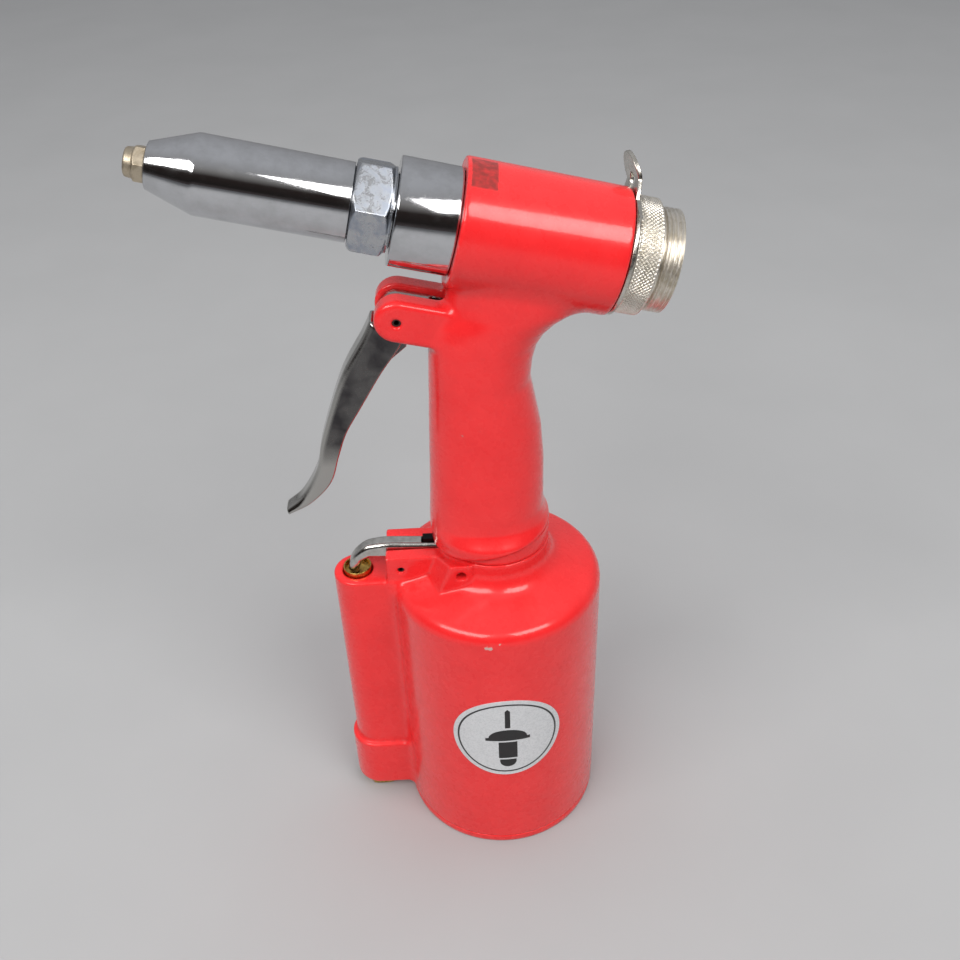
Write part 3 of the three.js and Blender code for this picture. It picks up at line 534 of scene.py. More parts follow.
def trigger_steel():
    """Polished where fingers run; the middle of the flat sides is painted dark, a painted dark reflection.
    """
    paint = Paint("trigger_steel", Metallic=1.0)
    side = paint.node("ShaderNodeNewGeometry", {}).outputs["Normal"]
    side = paint.math("ABSOLUTE", paint.node("ShaderNodeSeparateXYZ", {0: side}).outputs["Y"])
    flat = paint.range(side, 0.75, 0.98)
    blotch = paint.range(paint.noise(0.12, 4.0, 0.5, distortion=0.4), 0.38, 0.66)
    drop = paint.node("ShaderNodeSeparateXYZ", {0: paint.place}).outputs["Z"]
    high = paint.range(drop, 174, 184)
    # Side faces above the tip are painted dark, with slight blotches: a painted dark reflection.
    stain_and_dark_reflection = paint.math("MULTIPLY", paint.math("MULTIPLY", flat, high), paint.range(blotch, 0, 1, 0.82, 1.0))
    colour = paint.blend(stain_and_dark_reflection, rgb(178, 176, 172), rgb(66, 64, 66))
    pits = paint.range(paint.noise(1.1, 6.0, 0.75), 0.6, 0.68)
    colour = paint.blend(paint.math("MULTIPLY", pits, 0.55), colour, rgb(120, 114, 106))
    roughness = paint.math("ADD", paint.range(stain_and_dark_reflection, 0, 1, 0.14, 0.30), paint.math("MULTIPLY", pits, 0.18))
    height = paint.math("ADD", paint.noise(1.2, 5.0, 0.6), scratches(paint, 3.0, 0.15, 1.0))
    return paint.set(Base_Color=colour, Roughness=roughness, Normal=paint.bump(height, 0.15, 0.08))


def plain_metal(name, tint, dark, rough, bump=0.1):
    paint = Paint(name, Metallic=1.0)
    blotch = paint.range(paint.noise(0.4, 5.0, 0.7), 0.4, 0.7)
    roughness = paint.range(paint.noise(1.0, 4.0), 0.3, 0.7, rough, rough + 0.12)
    height = paint.math("ADD", paint.noise(2.5, 4.0), scratches(paint, 4.0, 0.2, 0.6))
    return paint.set(Base_Color=paint.blend(blotch, rgb(*tint), rgb(*dark)), Roughness=roughness,
                     Normal=paint.bump(height, bump, 0.05))


def plain_coat(name, tint, dark, rough, bump=0.1):
    paint = Paint(name)
    blotch = paint.range(paint.noise(0.5, 5.0, 0.7), 0.4, 0.7)
    roughness = paint.range(paint.noise(1.2, 4.0), 0.3, 0.7, rough, rough + 0.12)
    return paint.set(Base_Color=paint.blend(blotch, rgb(*tint), rgb(*dark)), Roughness=roughness,
                     Normal=paint.bump(paint.noise(2.5, 4.0), bump, 0.05))


METALS = {  # tint, darker tint, roughness and, for some, bump
    "lever_steel": ((204, 202, 198), (176, 173, 168), 0.13, 0.05),
    # Dark brown for the pins in the trigger's and the lever's holes: painted shade inside the holes.
    "pin_painted_shade": ((92, 78, 74), (60, 50, 48), 0.35),
    "satin_plate": ((206, 202, 194), (176, 170, 160), 0.2, 0.16),
    "steel": ((168, 167, 165), (128, 126, 122), 0.24),
    "spring_steel": ((150, 150, 152), (110, 110, 112), 0.3),
    "black_steel": ((44, 44, 47), (28, 28, 30), 0.38),
    "brass": ((206, 172, 96), (160, 124, 62), 0.2),
    "aluminium": ((200, 202, 204), (176, 178, 180), 0.3),
}
COATS = {
    "rubber": ((30, 30, 31), (22, 22, 23), 0.55, 0.2),
    "label_film": ((212, 214, 217), (200, 203, 206), 0.22, 0.03),
    "label_ink": ((22, 22, 24), (30, 30, 32), 0.28, 0.03),
}
LOOKS = {
    "red_paint": red_paint(),
    "chrome": chrome("chrome"),
    "ground_steel": chrome("ground_steel", (190, 191, 194), 0.1),
    "nickel": nickel("nickel"),
    "nose_nickel": nickel("nose_nickel", (190, 178, 158), (150, 136, 114), 0.36),
    "nut_steel": nut_steel(),
    "trigger_steel": trigger_steel(),
}
LOOKS.update((name, plain_metal(name, *values)) for name, values in METALS.items())
LOOKS.update((name, plain_coat(name, *values)) for name, values in COATS.items())


def dress(obj, body, slot, look=None, replaces=()):
    """Gives a new piece its look, that of its slot unless another is named, its body, and hides the nodes
    that it stands for.
    """
    obj.data.materials.clear()
    obj.data.materials.append(LOOKS[look or slot])
    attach(obj, body)
    if replaces:
        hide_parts(*replaces)
    return obj


# -------- red castings

# The grip's sections: height, front and back in X, and half the width in Y.
GRIP_SECTIONS = [
    (137.4, -23.3, 21.0, 22.1),
    (142.0, -23.4, 21.0, 22.0),
    (144.6, -23.6, 20.8, 21.9),
    (147.0, -23.6, 20.2, 19.9),
    (149.4, -23.5, 19.0, 18.3),
    (153.0, -23.2, 18.0, 18.0),
    (160.0, -22.8, 18.1, 17.9),
    (173.0, -22.2, 18.1, 17.2),
    (186.0, -21.6, 17.2, 16.8),
    (196.0, -21.1, 15.4, 16.5),
    (206.0, -20.6, 13.5, 16.3),
    (214.0, -20.2, 14.4, 16.3),
    (220.0, -19.9, 16.0, 16.2),
    (225.0, -19.2, 19.3, 16.1),
    (229.0, -17.8, 24.0, 16.0),
    (233.0, -15.0, 31.4, 15.9),
    (237.0, -13.8, 35.5, 15.9),
    (241.0, -13.4, 36.0, 15.8),
    (247.0, -11.5, 34.0, 15.6),
]


def section_at(heights):
    """Front, back and half width at each height, eased from one section to the next."""
    table = np.array(GRIP_SECTIONS)
    spacing, window = 0.25, 13
    fine = np.arange(table[0, 0], table[-1, 0], spacing)
    ease = np.hanning(window)
    ease /= ease.sum()
    eased = []
    for column in (1, 2, 3):
        values = np.interp(fine, table[:, 0], table[:, column])
        values = np.convolve(np.pad(values, window // 2, mode="edge"), ease, mode="valid")
        eased.append(np.interp(heights, fine, values))
    return eased


def barrel_space(x, z):
    """Distance ahead along the pulling axis, and height above it, of points in X and Z."""
    up = z - BARREL_HEIGHT
    return x * AHEAD.x + up * AHEAD.z, x * UPWARD.x + up * UPWARD.z


def handle_frame():
    block = Block((-37, -22.2, 103), (46, 22.2, 280), 0.62)
    x, y, z = block.axes
    side = np.abs(y)
    upright = np.hypot(x, y)
    ahead, above = barrel_space(x, z)
    radial = np.hypot(above, y)
    foot, top = GRIP_SECTIONS[0][0], GRIP_SECTIONS[-1][0]

    # The grip is a squared oval that turns rounder at its foot, where a tilted plane ends it.
    front, back, half_width = section_at(z)
    power = 2.33 - 0.25 * np.clip((150 - z) / 8, 0, 1)
    grip = (np.abs((2 * x - front - back) / (back - front)) ** power
            + (side / half_width) ** power) ** (1 / power) - 1
    grip = block.even(grip)
    foot_slope = 0.19
    foot_plane = (142 + foot_slope * x - z) / math.hypot(1, foot_slope)
    grip = meet(meet(grip, foot_plane, 1.1), between(z, foot, top), 0.5)
    grip = join(grip, np.maximum(upright - NECK_RADIUS, between(z, foot, 144)), 0.3)
    ahead_of_barrel = np.maximum(radial - BARREL_RADIUS - 0.6, BARREL_FRONT - ahead)
    grip = cut(grip, ahead_of_barrel)

    ear_end = (PIVOT[0] + EAR_LENGTH * math.cos(TILT), PIVOT[1] - EAR_LENGTH * math.sin(TILT))
    ears = meet(bar2(x, z, PIVOT, ear_end, EAR_RADIUS), side - 10.4, 2.0)
    barrel = meet(radial - BARREL_RADIUS, between(ahead, BARREL_REAR, BARREL_FRONT), 0.7)
    body = cut(join(grip, ears, 2.0), ahead_of_barrel)
    body = join(body, barrel, 2.5)
    body = join(body, np.maximum(upright - SPIGOT_RADIUS, between(z, 103.5, 142)))

    # The slot for the trigger's arm, and the way that the rod takes down to the lever.
    slot = np.maximum(side - 2.9, box2(x, z, (-45, -21), (214, 239)))
    slot = join(slot, np.maximum(bar2(x, y, (-45, 0), (-13.9, 0), 2.9), between(z, 226.5, 239)))
    body = cut(body, slot, 0.5)
    rod_way = rod_between(x, y, z, (ROD_TOP[0], 0, ROD_TOP[1]), (ROD_FOOT[0], 0, ROD_FOOT[1]), 2.4)
    body = cut(body, np.maximum(rod_way, z - 230))
    body = cut(body, np.maximum(side - 3.7, box2(x, z, (-27.4, -15.4), (130, 141))), 0.6)
    body = cut(body, disc2(x, z, PIVOT, PIVOT_HOLE), 0.25)

    # The barrel's two bores, then the upright ones from the spigot to the barrel.
    body = cut(body, np.maximum(radial - 15.6, between(ahead, -45, 20)))
    body = cut(body, np.maximum(radial - 17.0, between(ahead, -60, -35)))
    for bore, bore_top in ((11.4, 131), (8.2, 212), (2.2, 246)):
        body = cut(body, np.maximum(upright - bore, z - bore_top))
    body = cut(body, np.maximum(disc2(x, z, BLEED_SCREW, BLEED_HOLE), 9 - y), 0.2)
    obj = block.mesh("handle_casting", body)
    return dress(obj, "tool_body", "red_paint", replaces=["handle_frame"])


def screw_boss(x, side, z):
    """The block that carries a clamping screw, the same on both sides."""
    outer = side - 19
    front = -0.869 * (x + 22) + 0.373 * (side - 8.9) + 0.325 * (z - 134.5)
    rear = x + 8.8
    top_slope = (0.046, 0.295)
    top = z - 133.4 - top_slope[0] * (x + 22.3) - top_slope[1] * (side - 8.9)
    top = top / math.hypot(1, *top_slope)
    block = meet(meet(outer, front, 0.55), meet(rear, top, 0.55), 0.55)
    return np.maximum(np.maximum(block, 5 - side), 116 - z)


def air_cylinder():
    block = Block((-63.8, -41, 3.5), (41, 41, 138), 0.6)
    x, y, z = block.axes
    side = np.abs(y)
    radial = np.hypot(x, y)

    # The round wall, its sloping shoulder and the neck.
    slope = math.atan2(4.4, 11.3)
    shoulder = (radial - 36.5) * math.sin(slope) + (z - 121.2) * math.cos(slope)
    body = meet(radial - CYLINDER_RADIUS, shoulder, 3.6)
    body = join(body, np.maximum(radial - NECK_RADIUS, z - 140), 5.0)
    body = meet(body, between(z, 3.8, 137.1), 0.35)

    # The valve housing with its wider foot, the lever's lugs and the screw bosses.
    housing, collar = (meet(bar2(x, y, (HOUSING_X, 0), (-38, 0), radius), between(z, 6, top), 1.0)
                       for radius, top in ((9.1, 122), (11.0, 31)))
    body = join(body, join(housing, collar, 0.7), 3.0)
    lugs = meet(meet(side - 8.9, between(x, -41, -14), 0.7), between(z, 112, 133.5), 0.7)
    body = join(body, lugs, 1.3)
    body = join(body, screw_boss(x, side, z), 0.7)

    # The lever's slot and the holes of its pin and of the clamping screws.
    body = cut(body, np.maximum(side - 3.5, box2(x, z, (-48, -15.4), (122.3, 145))), 0.5)
    body = cut(body, disc2(x, z, LEVER_PIVOT, LEVER_HOLE), 0.3)
    body = cut(body, np.maximum(disc2(x, z, CLAMP_SCREW, SCREW_HOLE), 3 - side), 0.35)

    # The housing's bores for the plunger and the valve, then the cylinder's own.
    housing_radial = np.hypot(x - HOUSING_X, y)
    body = cut(body, np.maximum(housing_radial - 5.7, 62 - z), 0.4)
    body = cut(body, np.maximum(housing_radial - 7.3, z - 62.5), 0.3)
    body = cut(body, np.maximum(radial - 36.4, z - 112))
    body = cut(body, np.maximum(radial - 37.0, z - 16.5))
    body = cut(body, radial - 14.8)
    obj = block.mesh("cylinder_casting", body)
    return dress(obj, "tool_body", "red_paint", replaces=["air_cylinder"])


def base_cap():
    rim = CYLINDER_RADIUS - 0.1
    profile = soften([
        (0, 0), (rim, 0, 0.9), (rim, 3.45, 0.35), (35.9, 3.45), (35.9, 16), (30, 16), (30, 5), (0, 5),
    ], 0.3)
    obj = turn("base_cap_casting", profile, facets=224)
    return dress(obj, "tool_body", "red_paint", replaces=["base_cap"])


# -------- trigger and valve lever

# The trigger's blade from the side, in X and Z.
BLADE_FRONT = [(-38, 229.8), (-41.2, 223.5), (-48.6, 211), (-54.3, 196.8), (-59, 183), (-62, 171.5),
               (-68.5, 160.3), (-75.0, 154.6)]
BLADE_BACK = [(-74.2, 152.8), (-65.4, 157.6), (-57.2, 166.6), (-53.2, 178), (-49.4, 188), (-43.3, 198.3),
              (-35.6, 211), (-28.6, 221.1), (-28.2, 226)]


TRIGGER_TURN = math.radians(15)
EAR_GAP = 0.45


def trigger():
    block = Block((-77, -6, 151), (-11, 6, 240), 0.42)
    x, y, z = block.axes
    side = np.abs(y)
    front, back = curve_through(BLADE_FRONT), curve_through(BLADE_BACK)
    plan_front = outline2(x, z, front + [(-90, 150), (-20, 130), (0, 180), (0, 229.8)])
    plan = outline2(x, z, front + back)
    half_width = 4.3 + 1.2 * np.clip((z - 152) / 40, 0, 1)
    blade = meet(plan, side - half_width, 0.9)
    blade = np.maximum(blade, meet(plan_front, side - half_width, 2.6))
    # Room for the handle's ears, with the trigger let go and with it pulled home.
    cx, cz = x - PIVOT[0], z - PIVOT[1]
    ear_end = (EAR_LENGTH * math.cos(TILT), -EAR_LENGTH * math.sin(TILT))
    for angle in (0, -TRIGGER_TURN):
        turned_x = cx * math.cos(angle) + cz * math.sin(angle)
        turned_z = -cx * math.sin(angle) + cz * math.cos(angle)
        blade = cut(blade, bar2(turned_x, turned_z, (0, 0), ear_end, EAR_RADIUS + EAR_GAP), 0.5)

    arm = bar2(x, z, PIVOT, (ROD_TOP[0], ROD_TOP[1] + 0.6), 5.9)
    taper = np.clip((x - PIVOT[0]) / 14.8, 0, 1) * 3.4
    arm = arm + taper
    neck = outline2(x, z, [(-36, 226), (-24.5, 228.5), (-27, 219), (-34, 213), (-42, 220)])
    web = np.maximum(join(arm, neck, 2.0), np.where(x < -19, side - 2.5, side - 2.2))
    web = np.maximum(web, bar2(x, y, (-50, 0), (-13.9, 0), 2.6))
    body = join(blade, web, 0.8)
    body = cut(body, np.maximum(side - 1.1, box2(x, z, (-18.4, -10), (222, 240))))
    body = cut(body, disc2(x, z, PIVOT, PIVOT_HOLE))
    body = cut(body, disc2(x, z, ROD_TOP, ROD_HOLE))
    obj = block.mesh("finger_trigger", body)
    return dress(obj, "trigger", "steel", "trigger_steel", ["trigger"])


# The valve lever from the side, in X and Z.
LEVER_TOP = [(-55.8, 123.6), (-54.6, 127.8), (-52.2, 131.4), (-48.4, 134.4), (-44, 135.4), (-39, 135.6),
             (-27.6, 134.9), (-16.4, 134.6)]
LEVER_UNDER = [(-16.4, 130.6), (-27, 130.2), (-31.6, 126.6), (-33.6, 124.5), (-35.6, 123.9), (-37.6, 124.5),
               (-39.2, 126.3), (-41, 128.4), (-47.3, 128.8), (-50.1, 127.2), (-51.4, 124.2), (-52, 122),
               (-55.2, 122)]


def valve_lever():
    block = Block((-56.5, -3.4, 121.5), (-16, 3.4, 136), 0.16)
    x, y, z = block.axes
    side = np.abs(y)
    plan = outline2(x, z, curve_through(LEVER_TOP, 5) + LEVER_UNDER)
    body = meet(plan, side - 3.1, 2.0)
    body = cut(body, np.maximum(side - 1.9, -27.5 - x))
    body = cut(body, disc2(x, z, LEVER_PIVOT, LEVER_HOLE))
    body = cut(body, disc2(x, z, ROD_FOOT, ROD_HOLE))
    obj = block.mesh("rocker_lever", body)
    return dress(obj, "valve_lever", "chrome", "lever_steel", ["valve_lever"])


# -------- pulling head

def hexagon(x, y, across, clocking=0.0):
    """The field of an endless hexagonal bar."""
    faces = [x * math.cos(a) + y * math.sin(a)
             for a in (clocking + math.radians(60 * side) for side in range(6))]
    field = faces[0]
    for face in faces[1:]:
        field = meet(field, face, 0.0)
    return field - across / 2


def head_lock_nut():
    block = Block((-15.4, -15.4, 28.8), (15.4, 15.4, 41.3), 0.24, BARREL)
    x, y, z = block.axes
    radial = np.hypot(x, y)
    body = meet(hexagon(x, y, 26, math.radians(15)), between(z, 29, 41.1), 0.35)
    chamfer = math.radians(30)
    front = (radial - 12.7) * math.sin(chamfer) + (z - 41.1) * math.cos(chamfer)
    rear = (radial - 13.1) * math.sin(chamfer) - (z - 29.9) * math.cos(chamfer)
    body = meet(meet(body, front, 0.3), rear, 0.3)
    body = join(body, np.maximum(radial - 12.9, between(z, 29, 30.5)))
    body = cut(body, radial - 11.3)
    obj = block.mesh("lock_nut", body)
    return dress(obj, "tool_body", "nickel", "nut_steel", ["head_lock_nut"])


def nosepiece():
    block = Block((-6, -6, 79.7), (6, 6, 107.3), 0.16, BARREL)
    x, y, z = block.axes
    radial = np.hypot(x, y)
    hexed = meet(hexagon(x, y, 10, math.radians(17)), between(z, 101.1, 104.8), 0.15)
    hexed = meet(hexed, (radial - 5.1) * 0.53 + (z - 104.3) * 0.85, 0.2)
    nose = meet(radial - 4.6 + 0.12 * (z - 104.5), z - 107.2, 0.8)
    nose = np.maximum(nose, 101.5 - z)
    thread = np.maximum(radial - 4.1, between(z, 91.5, 102))
    tail = meet(radial - 2.9, between(z, 79.9, 93), 0.3)
    body = join(join(hexed, nose, 0.3), join(thread, tail))
    body = cut(body, radial - 1.6, 0.3)
    obj = block.mesh("nose", body)
    return dress(obj, "tool_body", "nickel", "nose_nickel", ["nosepiece"])


def front_sleeve():
    profile = soften([
        (8.6, -1), (15.3, -1), (15.3, 2), (13.6, 2), (13.6, 4.6), (15.3, 4.6), (15.3, 9.75, 0.1),
        (16.5, 9.75), (16.5, 28.4, 0.7), (11.4, 28.4, 0.4), (11.4, 16), (8.6, 16), (8.6, 8.6),
        (10.4, 8.6), (10.4, 5.6), (8.6, 5.6),
    ], 0.15)
    obj = turn("chrome_sleeve", profile, BARREL, 224)
    return dress(obj, "tool_body", "chrome", replaces=["front_sleeve"])


def frame_head():
    profile = soften([
        (9.7, 17), (10.9, 17), (10.9, 41.45), (12, 41.45), (12, 86.8, 0.8), (7, 100.8, 0.35),
        (4.4, 100.8), (4.4, 92), (9.7, 84.5),
    ], 0.2)
    obj = turn("pulling_tube", profile, BARREL, 224)
    return dress(obj, "tool_body", "chrome", replaces=["frame_head"])


# -------- rear cap and hanger

KNURLS = 84
KNURL_RADIUS = 18.3
KNURL_DEPTH = 0.4
KNURL_RANGE = (-51.0, -43.9)  # along the barrel, as is the thread's
THREAD_RADIUS = 16.3
THREAD_DEPTH = 0.8
THREAD_PITCH = 1.5
THREAD_RANGE = (-58.5, -53.0)


def fade(height, low, high, at_low, at_high):
    """From 0 at each end of a stretch to 1 a little way in from it."""
    return min(1.0, (high - height) / at_high, (height - low) / at_low)


def rear_cap():
    row = 0.13

    def shape(radius, height, angles):
        turns = angles / (2 * math.pi)
        if radius > KNURL_RADIUS - 0.3 and KNURL_RANGE[0] < height < KNURL_RANGE[1]:
            rise = height * KNURLS / (2 * math.pi * KNURL_RADIUS)
            waves = [np.abs((turns * KNURLS + way * rise) % 1 - 0.5) * 2 for way in (1, -1)]
            groove = np.clip(1 - 1.9 * np.minimum(*waves), 0, 1)
            return radius - KNURL_DEPTH * fade(height, *KNURL_RANGE, 0.4, 0.4) * groove
        if radius > THREAD_RADIUS - 0.8 and THREAD_RANGE[0] < height < THREAD_RANGE[1]:
            wave = np.abs((height / THREAD_PITCH + turns) % 1 - 0.5) * 2
            groove = 0.5 - 0.5 * np.cos(math.pi * wave)
            return radius - THREAD_DEPTH * fade(height, *THREAD_RANGE, 0.5, 0.6) * groove
        return np.full(len(angles), radius)

    threads = [(THREAD_RADIUS, height) for height in np.arange(*THREAD_RANGE, row)]
    relief = [(16.1, -52.9), (15.3, -52.6), (15.2, -52.0), (15.4, -51.75), (16.9, -51.7),
              (17.8, -51.4), (18.15, -51.15)]
    knurls = [(KNURL_RADIUS, height) for height in np.arange(*KNURL_RANGE, row)]
    front = [(18.2, -43.75), (18.0, -43.6), (16.6, -43.6), (16.6, -36), (13.8, -36)]
    inside = [(13.8, -46), (6.6, -46), (6.6, -50.5), (12.5, -50.5)]
    rear = [(12.5, -58.8), (12.8, -58.8), (15.2, -58.8), (16.1, -58.6)]
    profile = rear + threads + relief + knurls + front + inside
    obj = turn("knurled_cap", profile, BARREL, KNURLS * 10, shape)
    return dress(obj, "tool_body", "nickel", replaces=["rear_cap"])


EAR_HALF = 7.2  # half the ear's width
EAR_TURN = math.radians(20)  # round the barrel, towards the far side


def flat_mesh(name, loops, thick, edge=0.0):
    """A plate with its outline first and its holes after, lying on Z = 0, in millimetres."""
    curve = bpy.data.curves.new(name, "CURVE")
    curve.dimensions = "2D"
    curve.fill_mode = "BOTH"
    curve.extrude = thick / 2 - edge
    curve.bevel_depth = edge
    curve.bevel_resolution = 2
    for loop in loops:
        spline = curve.splines.new("POLY")
        spline.points.add(len(loop) - 1)
        for point, (px, py) in zip(spline.points, loop):
            point.co = (px, py, 0, 1)
        spline.use_cyclic_u = True
    flat = bpy.data.objects.new(name, curve)
    bpy.context.scene.collection.objects.link(flat)
    bpy.context.view_layer.update()
    mesh = bpy.data.meshes.new_from_object(flat.evaluated_get(bpy.context.evaluated_depsgraph_get()))
    bpy.data.objects.remove(flat)
    return mesh


def wrap(mesh, cuts, move):
    """Cuts a flat plate across X at each place given, then moves every point by the rule."""
    work = bmesh.new()
    work.from_mesh(mesh)
    bmesh.ops.remove_doubles(work, verts=work.verts, dist=1e-4)
    for place in cuts:
        bmesh.ops.bisect_plane(work, geom=work.verts[:] + work.edges[:] + work.faces[:],
                               plane_co=(place, 0, 0), plane_no=(1, 0, 0))
    for vert in work.verts:
        vert.co = move(*vert.co) * MM
    bmesh.ops.triangulate(work, faces=work.faces)
    work.to_mesh(mesh)
    work.free()
    return mesh


def hanger():
    """A sheet ring with an ear. It is drawn flat, then the ear is leant forward over a soft bend."""
    thick, edge, rear = 1.3, 0.22, -43.3
    outer, tip, gap = 19.2, 24.2, 0.50
    root = circle(outer, 120, (0, 0), gap, 2 * math.pi - gap)
    flank = [(16.8, -9.3), (18.9, -8.8), (20.8, -7.9), (22.4, -EAR_HALF), (tip, -EAR_HALF)]
    flank = curve_through(flank, 5)
    nose = circle(EAR_HALF, 28, (tip, 0), -math.pi / 2, math.pi / 2)
    outline = root + flank + nose + [(x, -y) for x, y in reversed(flank)]
    eye = circle(3.0, 40, (22.4, 0))[::-1]
    bore = circle(16.9 + edge, 144)[::-1]
    lean, start, length = math.radians(29), 21.9, 2.4
    bend = length / lean
    turned = BARREL @ Matrix.Rotation(EAR_TURN, 4, "Z")

    def move(u, side, off):
        off += thick / 2
        past = max(0.0, u - start)
        angle = min(past / bend, lean)
        straight = max(0.0, past - length)
        up = min(u, start) + bend * math.sin(angle) + straight * math.cos(lean)
        ahead = bend * (1 - math.cos(angle)) + straight * math.sin(lean)
        place = Vector((up - off * math.sin(angle), side, rear + ahead + off * math.cos(angle)))
        return turned @ place

    flat = flat_mesh("hanger_flat", [outline, eye, bore], thick, edge)
    mesh = wrap(flat, np.arange(20.4, 31, 0.6), move)
    return dress(finished("hanger_sheet", mesh, 45), "tool_body", "chrome", "satin_plate", ["hanger"])


# -------- valve, badge and screws

HOUSING = Matrix.Translation((HOUSING_X, 0, 0))


def valve_plunger():
    profile = soften([
        (0, 60.5), (1.5, 60.5), (1.5, 100), (5.5, 100), (5.5, 110.4), (4.1, 110.4), (4.1, 112.6),
        (5.3, 112.6), (5.3, 123.8, 0.3), (4.75, 123.8, 0.2), (4.6, 121.6), (0, 121.6),
    ], 0.15)
    obj = turn("brass_plunger", profile, HOUSING, 96)
    return dress(obj, "valve_plunger", "brass", replaces=["valve_plunger"])


def air_inlet():
    block = Block((-8.8, -8.8, 0.4), (8.8, 8.8, 15.7), 0.24, HOUSING)
    x, y, z = block.axes
    radial = np.hypot(x, y)
    hexed = meet(hexagon(x, y, 14.7, math.radians(30)), between(z, 0.6, 5.7), 0.3)
    hexed = meet(hexed, (radial - 7.9) * 0.5 - (z - 0.9) * 0.866, 0.3)
    body = join(hexed, np.maximum(radial - 6.9, between(z, 3, 15.5)))
    body = cut(body, np.maximum(6.0 - radial, between(z, 11, 13.4)))
    body = cut(body, np.maximum(radial - 5.2, z - 11.5), 0.4)
    body = cut(body, radial - 3)
    obj = block.mesh("inlet_fitting", body)
    return dress(obj, "tool_body", "brass", replaces=["air_inlet"])


BADGE_CENTRE = (1.3, 66.5)
BADGE_RADIUS = 21.4


def badge_print(name, loops, radius_out, thickness, look, replaces=()):
    """Flat shapes wrapped round the cylinder."""
    def move(across, up, off):
        around = (across + BADGE_CENTRE[0]) / CYLINDER_RADIUS
        out = radius_out - thickness / 2 + off
        return Vector((out * math.sin(around), -out * math.cos(around), BADGE_CENTRE[1] + up))

    mesh = wrap(flat_mesh(name, loops, thickness), np.arange(-22, 22.1, 1.0), move)
    return dress(finished(name, mesh), "tool_body", "label_film", look, replaces)


def badge():
    film = [circle(BADGE_RADIUS, 128)]
    badge_print("badge_film", film, CYLINDER_RADIUS + 0.42, 0.3, "label_film", ["badge"])
    ring = [circle(19.6, 128), circle(18.9, 128)]
    # A blind rivet seen from the side: mandrel, domed flange, sleeve and the mandrel's head.
    seat, flatness = 0.6, 0.62
    dome = [(x, seat + y * flatness) for x, y in circle(7.4, 40, (0, 0), 0, math.pi)]
    flange = [(-8.6, -1.0), (8.6, -1.0), (8.6, 0.6)] + dome + [(-8.6, 0.6)]
    mandrel = [(-1.0, 6.3), (1.0, 6.3), (1.0, 15.6), (0, 16.8), (-1.0, 15.6)]
    sleeve = [(-3.6, -1.9), (3.6, -1.9), (3.6, -11.2), (-3.6, -11.2)]
    head = [(-3.2, -12.1), (3.2, -12.1)] + circle(3.2, 24, (0, -13.2), 0, -math.pi)
    rivet = [flange, mandrel, sleeve, head]
    badge_print("badge_ink", ring + rivet, CYLINDER_RADIUS + 0.46, 0.1, "label_ink")


def small_parts():
    """CAD nodes whose own shape is right: bevelled where they show."""
    for name in ("trigger_pin", "trigger_rod", "trigger_link_pin", "valve_lever_pin", "lever_link_pin",
                 "clamp_screw_near", "clamp_screw_far", "bleed_screw"):
        bevel = frame["nodes"][name].modifiers.new("edge", "BEVEL")
        bevel.width = 0.15 * MM
        bevel.segments = 2
        bevel.limit_method = "ANGLE"
        bevel.angle_limit = math.radians(35)


def finish_nodes():
    """Every CAD node takes the look of its own slot."""
    for entry in frame["record"]["subparts"]:
        node = frame["nodes"][entry["node"]]
        node.data.materials.clear()
        node.data.materials.append(LOOKS[entry["material_slot"]])
    # These two pins are painted dark: painted shade in their holes.
    for name in ("trigger_pin", "valve_lever_pin"):
        frame["nodes"][name].data.materials[0] = LOOKS["pin_painted_shade"]


# -------- floor, light and camera

def plain(name, colour, roughness):
    paint = Paint(name, Roughness=roughness)
    tone = paint.range(paint.noise(0.01, 3.0), 0.3, 0.7)
    return paint.set(Base_Color=paint.blend(tone, rgb(*colour), rgb(*(v - 3 for v in colour))))


def floor():
    half = 6.0
    corners = [(-half, -half, 0), (half, -half, 0), (half, half, 0), (-half, half, 0)]
    mesh = bpy.data.meshes.new("floor")
    mesh.from_pydata(corners, [], [(0, 1, 2, 3)])
    obj = add_object("floor", mesh)
    obj.location.z = CAD_BOX[0][2] - 0.0002
    mesh.materials.append(plain("floor_paper", (174, 175, 176), 0.9))


def area_light(name, place, target, size, power, colour=(1, 1, 1)):
    data = bpy.data.lights.new(name, "AREA")
    data.shape = "RECTANGLE"
    data.size, data.size_y = size
    data.energy = power
    data.color = colour
    obj = bpy.data.objects.new(name, data)
    bpy.context.scene.collection.objects.link(obj)
    obj.location = place
    obj.rotation_euler = (Vector(target) - Vector(place)).to_track_quat("-Z", "Y").to_euler()
    return obj


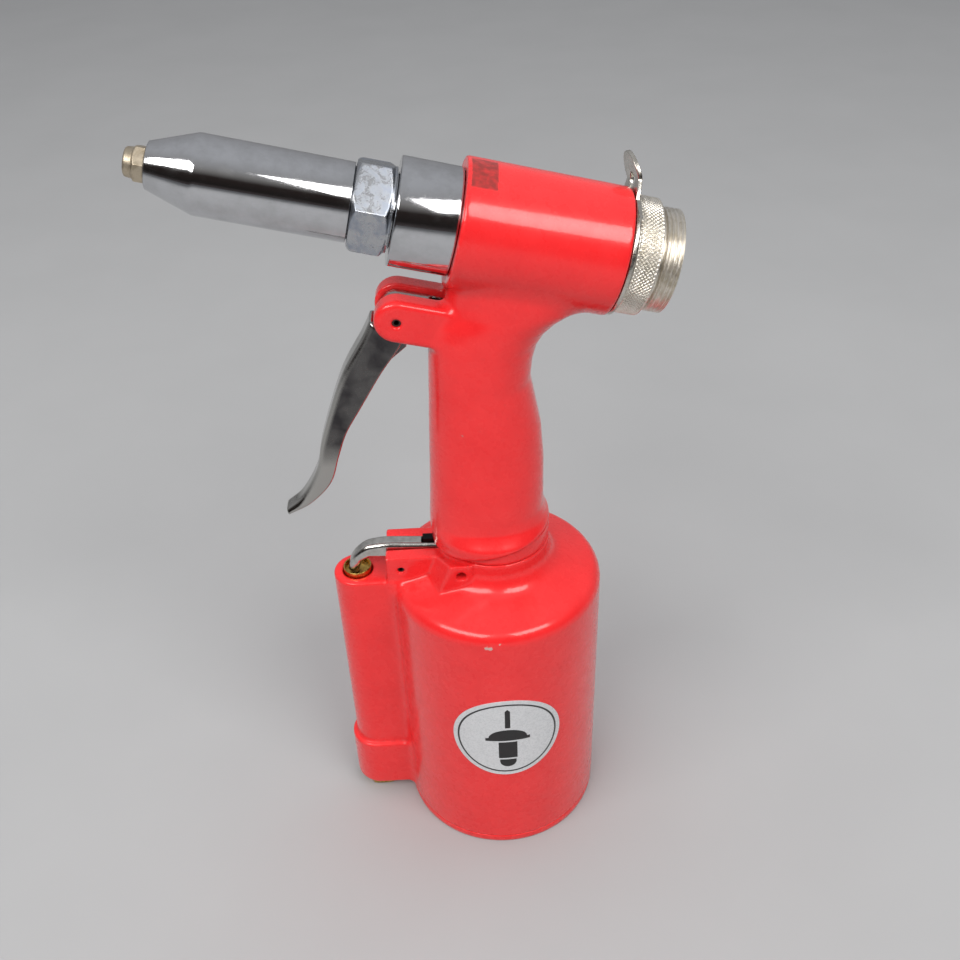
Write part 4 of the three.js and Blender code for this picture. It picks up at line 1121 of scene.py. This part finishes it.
def lights():
    """A dim room with a grey wall behind, a pale ceiling and two windows high up in front."""
    world = bpy.data.worlds.new("studio")
    bpy.context.scene.world = world
    world.use_nodes = True
    tree = world.node_tree
    direction = tree.nodes.new("ShaderNodeTexCoord")
    split = tree.nodes.new("ShaderNodeSeparateXYZ")
    tree.links.new(direction.outputs["Generated"], split.inputs[0])

    def ramp(socket, stops):
        node = tree.nodes.new("ShaderNodeValToRGB")
        tree.links.new(socket, node.inputs[0])
        elements = node.color_ramp.elements
        elements[0].color = (*stops[0][1], 1)
        elements[1].color = (*stops[-1][1], 1)
        for place, colour in stops[1:-1]:
            elements.new(place).color = (*colour, 1)
        return node.outputs[0]

    front = ramp(split.outputs["Z"], [(0.0, (0.06, 0.05, 0.05)), (0.1, (0.02, 0.017, 0.016)),
                                      (0.42, (0.03, 0.022, 0.02)), (0.62, (0.25, 0.24, 0.23)),
                                      (1.0, (0.55, 0.56, 0.58))])
    rear = ramp(split.outputs["Z"], [(0.0, (0.30, 0.30, 0.31)), (1.0, (0.55, 0.56, 0.58))])
    facing = tree.nodes.new("ShaderNodeMapRange")
    facing.inputs["From Min"].default_value = -0.25
    facing.inputs["From Max"].default_value = 0.25
    tree.links.new(split.outputs["Y"], facing.inputs["Value"])
    mix = tree.nodes.new("ShaderNodeMix")
    mix.data_type = "RGBA"
    tree.links.new(facing.outputs["Result"], mix.inputs[0])
    tree.links.new(front, mix.inputs[6])
    tree.links.new(rear, mix.inputs[7])
    tree.links.new(mix.outputs[2], tree.nodes["Background"].inputs["Color"])

    centre = (0, 0, 0.18)
    area_light("window_left", (-0.82, -0.95, 1.4), centre, (1.35, 0.6), 20, (1.0, 0.98, 0.96))
    area_light("window_right", (0.72, -0.95, 1.4), centre, (0.95, 0.6), 15, (1.0, 0.98, 0.96))
    ceiling = area_light("ceiling", (0.0, 0.3, 1.9), centre, (1.6, 0.8), 7, (0.99, 0.99, 1.0))
    ceiling.visible_glossy = False


def camera():
    """The photo's own camera: above the tool, looking down on it and slightly rolled."""
    yaw, pitch, roll = math.radians(1.1), math.radians(-37.27), math.radians(-2.28)
    place = Vector((-10.6, -308.6, 396.1)) * MM
    ahead = Vector((math.sin(yaw) * math.cos(pitch), math.cos(yaw) * math.cos(pitch), math.sin(pitch)))
    right = Vector((math.cos(yaw), -math.sin(yaw), 0))
    up = right.cross(ahead)
    right, up = (right * math.cos(roll) + up * math.sin(roll), up * math.cos(roll) - right * math.sin(roll))
    data = bpy.data.cameras.new("camera")
    data.sensor_width = 36
    data.lens = 40.37
    obj = bpy.data.objects.new("camera", data)
    obj.matrix_world = Matrix((
        (right.x, up.x, -ahead.x, place.x),
        (right.y, up.y, -ahead.y, place.y),
        (right.z, up.z, -ahead.z, place.z),
        (0, 0, 0, 1),
    ))
    bpy.context.scene.collection.objects.link(obj)
    bpy.context.scene.camera = obj


finish_nodes()
small_parts()
handle_frame()
air_cylinder()
base_cap()
trigger()
valve_lever()
head_lock_nut()
nosepiece()
front_sleeve()
frame_head()
rear_cap()
hanger()
valve_plunger()
air_inlet()
badge()
floor()
lights()
camera()
bpy.context.scene.view_settings.view_transform = "Standard"
